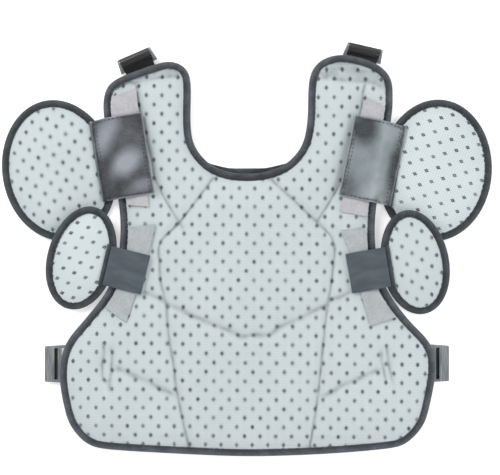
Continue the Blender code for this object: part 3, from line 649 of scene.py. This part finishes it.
sewing = {
    # each kind's tone is the strength of its painted shade
    "quilt": {"deep": 2.6 * mm, "wide": 5.0 * mm, "sharp": 1.3 * mm, "line": 1.5 * mm, "tone": 0.62,
              "pucker": 0.45 * mm, "lines": quilting},
    "crease": {"deep": 2.4 * mm, "wide": 7.0 * mm, "sharp": 0.9 * mm, "line": 2.7 * mm, "tone": 0.56,
               "pucker": 0.35 * mm, "lines": creases},
    "anchor": {"deep": 2.0 * mm, "wide": 3.6 * mm, "sharp": 1.0 * mm, "line": 1.7 * mm, "tone": 0.55,
               "pucker": 0.5 * mm, "lines": anchors},
}
# How every line fades at its ends, gathers the cloth beside it and varies in its painted shade
sewn = {"fade": 5 * mm, "least": 0.35, "sharpWide": 1.6 * mm, "gather": 3.4 * mm, "gatherDrift": 11 * mm,
        "patch": 5.1 * mm, "patchDrift": 23 * mm, "wave": 0.45 * mm, "waveSize": 38 * mm}
# The shoulder tops beyond their creases, which bend up and wrinkle, and get painted shade as if tilted away
# from the light
bend = {"half": 60 * mm, "soft": 3 * mm, "tone": 0.34, "uneven": 0.3, "deep": 1.2 * mm, "size": 10 * mm,
        "stretch": np.array([0.45, 1.0])}


def quilt(piece):
    # presses the seams and creases into the vest and notes where shade is painted along them and on the
    # shoulder tops
    places = points(piece)
    flat = places[:, :2]
    above = np.clip(normals(piece)[:, 2] * 2, 0, 1)
    sunk = np.zeros(len(places))
    dark = np.zeros(len(places))
    for kind, settings in sewing.items():
        for corners in settings["lines"].values():
            away, run, length = alongLine(flat, pixelLine(corners))
            toEnd = np.minimum(run, length - run)
            fade = 1 if kind == "quilt" else np.clip(toEnd / sewn["fade"], sewn["least"], 1)
            soft = np.exp(-(away / settings["wide"]) ** 2)
            sharp = np.clip(1 - away / sewn["sharpWide"], 0, 1)
            gather = np.sin(run / sewn["gather"] + 2 * np.sin(run / sewn["gatherDrift"]))
            pucker = settings["pucker"] * gather * soft * (1 - soft) * 2
            drop = (settings["deep"] * soft + settings["sharp"] * sharp) * fade + pucker
            sunk = np.maximum(sunk, drop)
            uneven = 0.75 + 0.25 * np.sin(run / sewn["patch"] + 3 * np.sin(run / sewn["patchDrift"]))
            # painted shade along the line
            stroke = np.exp(-(away / settings["line"]) ** 2)
            dark = np.maximum(dark, settings["tone"] * uneven * fade * stroke)
    for corners in (creases["shoulderLeft"], creases["shoulderRight"]):
        line = pixelLine(corners)
        beyond = flat[:, 1] - np.interp(flat[:, 0], line[:, 0], line[:, 1])
        near = abs(flat[:, 0] - line[:, 0].mean()) < bend["half"]
        wrinkle = ripple(flat * bend["stretch"], bend["size"], 7.0)
        bent = np.clip(beyond / bend["soft"], 0, 1) * near
        # painted shade on the shoulder top
        dark = np.maximum(dark, bent * (bend["tone"] + bend["uneven"] * wrinkle))
        sunk = sunk + bent * bend["deep"] * wrinkle
    lift = sewn["wave"] * ripple(flat, sewn["waveSize"], 1.5)
    places[:, 2] += above * (lift - sunk)
    movePoints(piece, places)
    addNote(piece, "crease", dark * above)


def dull(piece):
    # a piece without painted crease shade
    addNote(piece, "crease", np.zeros(len(piece.data.vertices)))


def coverBelow(piece):
    # the outer face gets the cover cloth
    for face in piece.data.polygons:
        face.material_index = 1 if face.normal.z < -0.25 else 0


# Edge tape

def padOutline(node):
    # the ordered outline of a pad, from the edge between its side and its underside
    bm = nodeCopy(node)
    wall = {face for face in bm.faces if abs(face.normal.z) < 0.35}
    rim = {}
    for edge in bm.edges:
        if len(edge.link_faces) == 2 and len(wall.intersection(edge.link_faces)) == 1:
            other = [face for face in edge.link_faces if face not in wall][0]
            if other.normal.z < 0:
                for vert in edge.verts:
                    rim.setdefault(vert, []).append(edge.other_vert(vert))
    here = min(rim, key=lambda vert: vert.co.y)
    loop, before = [], None
    while True:
        loop.append(here.co.to_2d())
        ahead = [vert for vert in rim[here] if vert != before]
        before, here = here, ahead[0]
        if (here.co.to_2d() - loop[0]).length < 0.01 * mm or len(loop) > len(rim):
            break
    bm.free()
    return np.array([tuple(point) for point in loop])


def edgeTape(name, node, padNode, finish):
    bm = nodeCopy(node)
    bmesh.ops.join_triangles(bm, faces=bm.faces, angle_face_threshold=math.pi, angle_shape_threshold=math.pi)
    piece = makePiece(bm, name, "edge_tape", finish)
    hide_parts(node)
    rounder = piece.modifiers.new("round", "SUBSURF")
    rounder.levels = rounder.render_levels = 2
    settle(piece)
    outline = padOutline(padNode)
    places = points(piece)
    away, run, length = alongLine(places[:, :2], outline, closed=True)
    facing = normals(piece)
    gather = (np.sin(run * 2 * math.pi / tape["puckerLength"] + 2.5 * np.sin(run / tape["puckerDrift"]))
              * (0.5 + 0.5 * ripple(np.column_stack([run, away]), tape["puckerPatch"], 4.0)))
    inner = np.clip((away - tape["flatEdge"]) / tape["puckerRise"], 0, 1)
    places += facing * (tape["pucker"] * gather * inner)[:, None]
    movePoints(piece, places)
    layer = piece.data.uv_layers.new(name="run")
    for face in piece.data.polygons:
        runs = [run[piece.data.loops[index].vertex_index] for index in face.loop_indices]
        wraps = max(runs) - min(runs) > length / 2
        for index, value in zip(face.loop_indices, runs):
            if wraps and value < length / 2:
                value += length
            layer.data[index].uv = (value, away[piece.data.loops[index].vertex_index])
    piece.data.shade_smooth()
    return piece


# Strips, tabs and webbing

def turned(places, angle):
    # flat places in axes that are turned by an angle
    return places @ np.array([[math.cos(angle), -math.sin(angle)], [math.sin(angle), math.cos(angle)]])


def boxOn(node):
    # the tightest turned rectangle round a flat node: its centre, angle, length and height
    places = np.array([vert.co[:2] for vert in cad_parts[node].data.vertices])
    best = None
    for tenth in range(-250, 255, 5):
        angle = math.radians(tenth / 10)
        own = turned(places, angle)
        low, high = own.min(0), own.max(0)
        size = high - low
        if best is None or size[0] * size[1] < best[0]:
            middle = (low + high) / 2
            centre = Vector((middle[0], middle[1])).to_3d()
            centre.rotate(Matrix.Rotation(angle, 3, "Z"))
            best = (size[0] * size[1], centre, angle, size)
    return best[1], best[2], best[3]


def laidPiece(name, node, slotName, finish, cuts, rounds, edge):
    # a flat CAD sheet cut finer, smoothed and given rounded edges, with a map in its own plane
    bm = nodeCopy(node)
    long = [item for item in bm.edges if item.calc_length() > 3 * mm]
    bmesh.ops.subdivide_edges(bm, edges=long, cuts=cuts, use_grid_fill=True)
    bmesh.ops.triangulate(bm, faces=[face for face in bm.faces if len(face.verts) > 4])
    bm.normal_update()
    rim = [item for item in bm.edges if len(item.link_faces) == 2 and item.calc_face_angle(0) > sharpTurn]
    fixed = {vert for item in rim for vert in item.verts}
    smoothHeights(bm, [vert for vert in bm.verts if vert not in fixed], rounds)
    roundEdges(bm, rim, edge)
    piece = makePiece(bm, name, slotName, finish)
    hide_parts(node)
    centre, angle, size = boxOn(node)
    own = turned(points(piece)[:, :2] - np.array(centre[:2]), angle)
    layer = piece.data.uv_layers.new(name="plane")
    flat = own[[loop.vertex_index for loop in piece.data.loops]]
    layer.data.foreach_set("uv", flat.astype(np.float32).ravel())
    return piece, (float(size[0]), float(size[1])), own


def cornersOf(piece, own, side):
    # a tab's corners: pad side top, vest side top, vest side bottom, pad side bottom
    flat = points(piece)[:, :2]
    inward = 1 if side == "Left" else -1
    ways = ((-inward, 1), (inward, 1), (inward, -1), (-inward, -1))
    return [Vector(flat[np.argmax(own @ np.array(way))]) for way in ways]


def sewnLine(corners, edge, inset, cut):
    # a line beside one edge of a tab, inset from it and cut short at both ends
    start, end = corners[edge], corners[(edge + 1) % 4]
    way = (end - start).normalized()
    side = Vector((-way.y, way.x))
    if (sum(corners, Vector((0, 0))) / 4 - start).dot(side) < 0:
        side = -side
    return np.array([tuple(start + way * cut[0] + side * inset), tuple(end - way * cut[1] + side * inset)])


def edgeNotes(piece, corners, rim, seam, welt):
    # the painted highlight on a tab's rim, the groove of its stitches and the dark fold at its pad side
    flat = points(piece)[:, :2]
    gap = alongLine(flat, np.array([tuple(corner) for corner in corners]), closed=True)[0]
    padGap = alongLine(flat, sewnLine(corners, 3, 0, (0, 0)))[0]
    fold = np.clip((welt - padGap) / (0.6 * mm), 0, 1) * np.clip((padGap - rim * 0.5) / (0.4 * mm), 0, 1)
    paintedRimHighlight = np.clip(1 - gap / rim, 0, 1) ** 0.6
    addNote(piece, "edge", paintedRimHighlight * (1 - fold))
    addNote(piece, "seam", np.maximum(np.exp(-((gap - seam) / (0.8 * mm)) ** 2), fold))


# The narrow welts that join the tabs to their pads, as pixels of the photograph where they are wider
welt = {
    "outer": {"Left": ((101.8, 200.6), (87.9, 121.8)), "Right": ((392.8, 208.5), (406.2, 125.6))},
    "gap": 0.4 * mm, "thick": 1.3 * mm, "lift": 0.15 * mm, "lowerWide": 5.4 * mm, "past": 1.5 * mm,
    "rim": 1.2 * mm, "edge": 0.35 * mm, "columns": 6, "rows": 40,
}


def weltStrip(name, slotName, finish, outer, inner, under):
    # a folded strip between two edge lines, which lies on whatever is under it
    trees = [pieceTree(piece) for piece in under]
    columns, rows = welt["columns"], welt["rows"]
    bm = bmesh.new()
    bmesh.ops.create_grid(bm, x_segments=columns, y_segments=rows, size=0.5)
    raised = bmesh.ops.extrude_face_region(bm, geom=bm.faces[:])
    tops = {item for item in raised["geom"] if isinstance(item, bmesh.types.BMVert)}
    wide = max((outer[end] - inner[end]).length for end in (0, 1))
    long = (outer[1] - outer[0]).length
    ground = np.zeros((columns + 1, rows + 1))
    places = {}
    for column in range(columns + 1):
        for row in range(rows + 1):
            across, along = column / columns, row / rows
            place = outer[0].lerp(outer[1], along).lerp(inner[0].lerp(inner[1], along), across)
            hits = [tree.ray_cast(Vector((place.x, place.y, 1)), down)[0] for tree in trees]
            ground[column, row] = max(hit.z for hit in hits if hit is not None)
            places[column, row] = place
    crest = [ground[:, max(0, row - 2):row + 3].max() for row in range(rows + 1)]
    crest = [np.mean(crest[max(0, row - 2):row + 3]) for row in range(rows + 1)]
    layer = bm.loops.layers.uv.new("plane")
    spots = {vert: (round((vert.co.x + 0.5) * columns), round((vert.co.y + 0.5) * rows)) for vert in bm.verts}
    for face in bm.faces:
        for loop in face.loops:
            column, row = spots[loop.vert]
            loop[layer].uv = (row / rows * long, column / columns * wide)
    for vert, (column, row) in spots.items():
        place = places[column, row]
        height = crest[row] + welt["thick"] if vert in tops else ground[column, row]
        vert.co = Vector((place.x, place.y, height + welt["lift"]))
    bmesh.ops.recalc_face_normals(bm, faces=bm.faces)
    sharp = [edge for edge in bm.edges if edge.calc_face_angle(0) > sharpTurn]
    roundEdges(bm, sharp, welt["edge"])
    piece = makePiece(bm, name, slotName, finish)
    flat = points(piece)[:, :2]
    edges = [alongLine(flat, np.array([tuple(line[0]), tuple(line[1])]))[0] for line in (outer, inner)]
    # the edge note paints a highlight along both rims where the finish reads it
    addNote(piece, "edge", np.clip(1 - np.minimum(*edges) / welt["rim"], 0, 1))
    return piece


# Stitches

def stitches(name, lines, tree, finish, slotName, length, gap, thick):
    # short thread ovals laid along lines on a surface, all in one piece
    bm = bmesh.new()
    for line in lines:
        reach = np.concatenate([[0], np.cumsum(np.hypot(*np.diff(line, axis=0).T))])
        count = int(reach[-1] / (length + gap))
        for number in range(count):
            middle = (number + 0.5) * reach[-1] / count
            before, after = middle - length / 2, middle + length / 2
            ends = []
            for at in (before, after):
                x = np.interp(at, reach, line[:, 0])
                y = np.interp(at, reach, line[:, 1])
                hit = tree.ray_cast(Vector((x, y, 1)), down)
                if hit[0] is not None:
                    ends.append(hit[0])
            if len(ends) < 2 or (ends[1] - ends[0]).length > 2 * length:
                continue
            way = (ends[1] - ends[0]).normalized()
            side = up.cross(way).normalized()
            turn = Matrix((way, side, way.cross(side))).transposed().to_4x4()
            size = Matrix.Diagonal((length / 2, thick / 2, thick / 2, 1))
            place = Matrix.Translation((ends[0] + ends[1]) / 2) @ turn @ size
            bmesh.ops.create_icosphere(bm, subdivisions=1, radius=1, matrix=place)
    return makePiece(bm, name, slotName, finish)


# Ladder-lock buckles, measured along the strap from the bar that the loop holds

buckle = {
    "bar": 4.6 * mm, "loopSlot": 5.0 * mm, "strapSlot": 6.0 * mm, "tab": 13.0 * mm, "slotWide": 39.6 * mm,
    "wideBase": 49.0 * mm, "wideTab": 44.5 * mm, "thick": 4.6 * mm, "ribs": 5, "ribHigh": 0.55 * mm,
    "tabLift": 1.6 * mm, "corner": 2.2 * mm, "webDeep": 0.0, "edge": 0.55 * mm,
}
buckleLooks = {
    "shoulder": {"tab": 11.0 * mm, "strapSlot": 5.0 * mm, "tabLift": 0.6 * mm},
    "hip": {"loopSlot": 12.5 * mm, "strapSlot": 4.2 * mm, "tab": 11.8 * mm, "ribHigh": 0.25 * mm,
            "webDeep": 3.4 * mm},
}


def buckleAxes(node):
    # the CAD buckle's own axes: across its face, then along the strap away from the vest
    bm = nodeCopy(node)
    faces = [(face.normal.copy(), face.calc_area(), face.calc_center_median()) for face in bm.faces]

    def facing(way):
        # how much of the surface faces this way
        return sum(area * abs(way.dot(normal)) ** 12 for normal, area, centre in faces)

    normal = max([item[0] for item in faces], key=facing)
    normal = normal if normal.z > 0 else -normal
    ways = [item[0] for item in faces if abs(item[0].dot(normal)) < 0.05]
    way = max(ways, key=facing)
    middle = sum((item[2] * item[1] for item in faces), Vector()) / sum(item[1] for item in faces)
    if way.xy.dot(middle.xy) < 0:
        way = -way
    side = normal.cross(way)
    turn = Matrix((way, side, normal)).transposed()
    own = [turn.transposed() @ vert.co for vert in bm.verts]
    low = Vector([min(place[axis] for place in own) for axis in range(3)])
    high = Vector([max(place[axis] for place in own) for axis in range(3)])
    bm.free()
    start = turn @ Vector((low.x + buckle["bar"] / 2, (low.y + high.y) / 2, (low.z + high.z) / 2))
    return Matrix.Translation(start) @ turn.to_4x4()


def ladderLock(name, node, look, frameFinish, tabFinish):
    lock = {**buckle, **look}
    ribs = lock["ribs"]
    columns = [-lock["bar"] / 2]
    for part in ("bar", "loopSlot", "bar", "strapSlot"):
        columns.append(columns[-1] + lock[part])
    tabStart = columns[-1]
    cells = 2 * ribs + 1
    columns += [tabStart + lock["tab"] * (part + 1) / cells for part in range(cells)]
    end = columns[-1]
    bm = bmesh.new()
    bmesh.ops.create_grid(bm, x_segments=len(columns) - 1, y_segments=3, size=0.5)
    spread = sorted({round(vert.co.x, 5) for vert in bm.verts})
    rows = sorted({round(vert.co.y, 5) for vert in bm.verts})
    for vert in bm.verts:
        column = spread.index(round(vert.co.x, 5))
        row = rows.index(round(vert.co.y, 5))
        x = columns[column]
        share = (x - columns[0]) / (end - columns[0])
        wide = lock["wideBase"] + (lock["wideTab"] - lock["wideBase"]) * share
        half = (wide / 2, lock["slotWide"] / 2, lock["slotWide"] / 2, wide / 2)[row]
        vert.co = Vector((x, half if row > 1 else -half, 0))

    def between(face, low, high):
        # whether a face lies between two places along the strap, in the middle of the buckle
        at = face.calc_center_median()
        return low < at.x < high and abs(at.y) < 5 * mm

    openings = [face for face in bm.faces if between(face, columns[1], columns[2])
                or between(face, columns[3], columns[4]) and not lock["webDeep"]]
    bmesh.ops.delete(bm, geom=openings, context="FACES")
    raised = bmesh.ops.extrude_face_region(bm, geom=bm.faces[:])
    tops = [item for item in raised["geom"] if isinstance(item, bmesh.types.BMFace)]
    liftFaces(bm, tops, lock["thick"])

    def outerEnd(vert):
        return vert.co.x > end - 0.1 * mm and abs(vert.co.y) > lock["slotWide"] / 2 + 0.1 * mm

    roundEdges(bm, [edge for edge in bm.edges if all(map(outerEnd, edge.verts))], lock["corner"], 4)
    web = [face for face in tops if face.is_valid and between(face, columns[3], columns[4])]
    if web:
        bmesh.ops.inset_region(bm, faces=web, thickness=0.1 * mm, depth=0.0)
        liftFaces(bm, web, -lock["webDeep"])
    for number in range(ribs):
        low, high = columns[4 + 2 * number + 1], columns[4 + 2 * number + 2]
        crest = [face for face in tops if face.is_valid and between(face, low, high)]
        bmesh.ops.inset_region(bm, faces=crest, thickness=0.25 * mm, depth=0.0)
        liftFaces(bm, crest, lock["ribHigh"])
    for vert in bm.verts:
        past = max(0.0, (vert.co.x - tabStart) / lock["tab"])
        vert.co.z += lock["tabLift"] * past * past - lock["thick"] / 2
        bar = columns[2] - 0.1 * mm < vert.co.x < columns[3] + 0.1 * mm
        if bar and vert.co.z > 0:
            vert.co.z -= 0.5 * mm
    bmesh.ops.recalc_face_normals(bm, faces=bm.faces)
    for face in bm.faces:
        middle = face.calc_center_median()
        inside = middle.x > columns[1] + 0.1 * mm and abs(middle.y) < lock["slotWide"] / 2
        face.material_index = 1 if (face in web if web else inside) else 0
    layer = bm.loops.layers.uv.new("plane")
    for face in bm.faces:
        for loop in face.loops:
            loop[layer].uv = (loop.vert.co.x + loop.vert.co.z, loop.vert.co.y)
    bmesh.ops.transform(bm, matrix=buckleAxes(node), verts=bm.verts)
    piece = makePiece(bm, name, "buckle_plastic", frameFinish, tabFinish)
    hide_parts(node)
    rounder = piece.modifiers.new("round", "BEVEL")
    rounder.width = lock["edge"]
    rounder.segments = 3
    rounder.limit_method = "ANGLE"
    rounder.angle_limit = math.radians(40)
    return piece


# Building the pieces

cover = coverCloth()
vest = padding("quiltedVest", pads["vest"], cover)
quilt(vest)
coverBelow(vest)
armPads = {side: padding("armPad" + side, pads["arm" + side], cover) for side in ("Left", "Right")}
lowerPads = {side: padding("lowerPad" + side, pads["lower" + side], cover) for side in ("Left", "Right")}
for piece in [*armPads.values(), *lowerPads.values()]:
    dull(piece)
    coverBelow(piece)
print("padding made")

padTape = ribbedTape("padTape", tape["pads"])
edgeTape("vestTape", "vest_binding", "vest_pad", ribbedTape("vestTape", tape["vest"]))
armTapes, lowerTapes = {}, {}
for side in ("Left", "Right"):
    end = side.lower()
    armTapes[side] = edgeTape("armTape" + side, "arm_binding_" + end, "arm_pad_" + end, padTape)
    lowerTapes[side] = edgeTape("lowerTape" + side, "lower_binding_" + end, "lower_pad_" + end, padTape)
print("edge tapes made")

# How each flat piece is made: cuts in its edges, rounds of smoothing and how wide its edge is rounded
flatWork = {"collar": (1, 1, 0.8 * mm), "strip": (2, 6, 0.4 * mm), "armTab": (3, 10, 0.6 * mm),
            "lowerTab": (3, 8, 0.5 * mm), "loop": (1, 0, 0.3 * mm)}
collar = laidPiece("collarPad", "collar_pad", "collar_fabric", collarCloth(), *flatWork["collar"])[0]

boxShare = 0.72  # how much of the rectangle round a loop strip the strip fills
piles = {"Upper": loopPile("pileUpper", (198, 197, 200), (162, 162, 166)),
         "Lower": loopPile("pileLower", (187, 193, 194), (152, 158, 160))}
for side in ("Left", "Right"):
    for level, pile in piles.items():
        node = f"loop_strip_{level.lower()}_{side.lower()}"
        name = "loopStrip" + level + side
        strip, size, own = laidPiece(name, node, "loop_pile", pile, *flatWork["strip"])
        dull(strip)
        size[0] * size[1] * boxShare
print("strips laid")

slate = wovenWebbing("slateWebbing", (50, 58, 65), (86, 97, 106), 1.5 * mm)
weltLeather = leatherette("weltLeather", leather["Welt"])
stitching = {"in": 2.5 * mm, "second": 5.6 * mm, "padIn": 6.6 * mm, "rim": 2.0 * mm,
             "long": 3.5 * mm, "gap": 1.6 * mm, "thick": 1.25 * mm}
tabs = {}
for side in ("Left", "Right"):
    end = side.lower()
    skin = leatherette("leather" + side, leather[side])
    tab, size, own = laidPiece("armTab" + side, "arm_tab_" + end, "leatherette", skin, *flatWork["armTab"])
    corners = cornersOf(tab, own, side)
    edgeNotes(tab, corners, stitching["rim"], stitching["in"], stitching["padIn"] - 1.6 * mm)
    tabs[side] = (tab, corners)
    inner = [Vector(place) for place in sewnLine(corners, 3, -welt["gap"], (0, 0))]
    outer = [atPixel(*pixel).to_2d() for pixel in welt["outer"][side]]
    under = [armPads[side], armTapes[side]]
    strip = weltStrip("armWelt" + side, "leatherette", weltLeather, outer, inner, under)
    "arm_pad_" + end
    name = "lowerTab" + side
    tab, size, own = laidPiece(name, "lower_tab_" + end, "grey_webbing", slate, *flatWork["lowerTab"])
    corners = cornersOf(tab, own, side)
    longer = (-welt["past"], -welt["past"])
    inner, outer = [[Vector(place) for place in sewnLine(corners, 3, -out, longer)]
                    for out in (welt["gap"], welt["gap"] + welt["lowerWide"])]
    under = [lowerPads[side], lowerTapes[side]]
    strip = weltStrip("lowerWelt" + side, "edge_tape", padTape, outer, inner, under)
    "lower_pad_" + end
print("tabs laid")

blackWebbing = wovenWebbing("blackWebbing", (14, 15, 17), (40, 42, 45), 1.3 * mm)
greyPlastic = mouldedPlastic("greyPlastic", (104, 110, 114), (150, 155, 158), 0.3)
darkPlastic = mouldedPlastic("darkPlastic", (34, 34, 36), (58, 57, 58), 0.45)
for place in ("shoulder", "hip"):
    for side in ("Left", "Right"):
        end = side.lower()
        name = place + "Loop" + side
        laidPiece(name, f"{place}_loop_{end}", "black_webbing", blackWebbing, *flatWork["loop"])
        tabLook = darkPlastic if place == "shoulder" else blackWebbing
        ladderLock(place + "Buckle" + side, f"{place}_buckle_{end}", buckleLooks[place], greyPlastic, tabLook)
print("buckles made")

darkThread = thread("darkThread", (62, 67, 72))
blackThread = thread("blackThread", (20, 22, 25))
vestTree = pieceTree(vest)
stitches("quiltStitches", [pixelLine(corners) for corners in quilting.values()], vestTree, darkThread,
         "mesh_fabric", 2.7 * mm, 0.9 * mm, 0.8 * mm)
stitches("anchorStitches", [pixelLine(corners) for corners in anchors.values()], vestTree, darkThread,
         "mesh_fabric", 2.2 * mm, 1.1 * mm, 0.8 * mm)
for side, (tab, corners) in tabs.items():
    near, far = stitching["in"], stitching["padIn"]
    rows = [sewnLine(corners, 0, near, (far, near)), sewnLine(corners, 1, near, (near, near)),
            sewnLine(corners, 1, stitching["second"], (near, near)), sewnLine(corners, 2, near, (near, far)),
            sewnLine(corners, 3, far, (near, near))]
    stitches("tabStitches" + side, rows, pieceTree(tab), blackThread, "leatherette",
             stitching["long"], stitching["gap"], stitching["thick"])
print("stitches sewn")

# Floor, light and camera

# Each lamp has its place, its width and its power in watts
studio = {"above": 2.0, "wideSeen": photo["wide"] * photo["scale"], "topPlane": 18 * mm, "sensor": 36.0,
          "floorGlow": 0.42, "worldGlow": 0.66, "floorHalf": 3.0,
          "lamps": {"keyLight": ((-0.9, 1.0, 1.7), 0.9, 20), "fillLight": ((1.2, -0.4, 1.5), 1.2, 10)}}


def whiteFloor():
    bm = bmesh.new()
    bmesh.ops.create_grid(bm, x_segments=1, y_segments=1, size=studio["floorHalf"])
    finish = Finish("paleFloor", Base_Color=(0.97, 0.97, 0.97, 1), Roughness=0.9,
                    Emission_Color=(1, 1, 1, 1), Emission_Strength=studio["floorGlow"])
    plainObject(bm, "floor", finish)


def softLight(name, place, size, power):
    # a round soft light that faces the middle of the floor
    light = bpy.data.lights.new(name, "AREA")
    light.shape = "DISK"
    light.size = size
    light.energy = power
    lamp = stand(name, light)
    lamp.location = place
    lamp.rotation_euler = (-Vector(place)).to_track_quat("-Z", "Y").to_euler()


whiteFloor()
world = bpy.data.worlds.new("studio")
world.use_nodes = True
world.node_tree.nodes["Background"].inputs["Color"].default_value = (1, 1, 1, 1)
world.node_tree.nodes["Background"].inputs["Strength"].default_value = studio["worldGlow"]
bpy.context.scene.world = world
for name, (place, size, power) in studio["lamps"].items():
    softLight(name, place, size, power)

lens = bpy.data.cameras.new("camera")
lens.sensor_width = studio["sensor"]
lens.lens = studio["sensor"] * studio["above"] / studio["wideSeen"]
camera = stand("camera", lens)
camera.location = atPixel(photo["wide"] / 2, photo["high"] / 2) + up * (studio["above"] + studio["topPlane"])
bpy.context.scene.camera = camera
bpy.context.scene.view_settings.view_transform = "Standard"
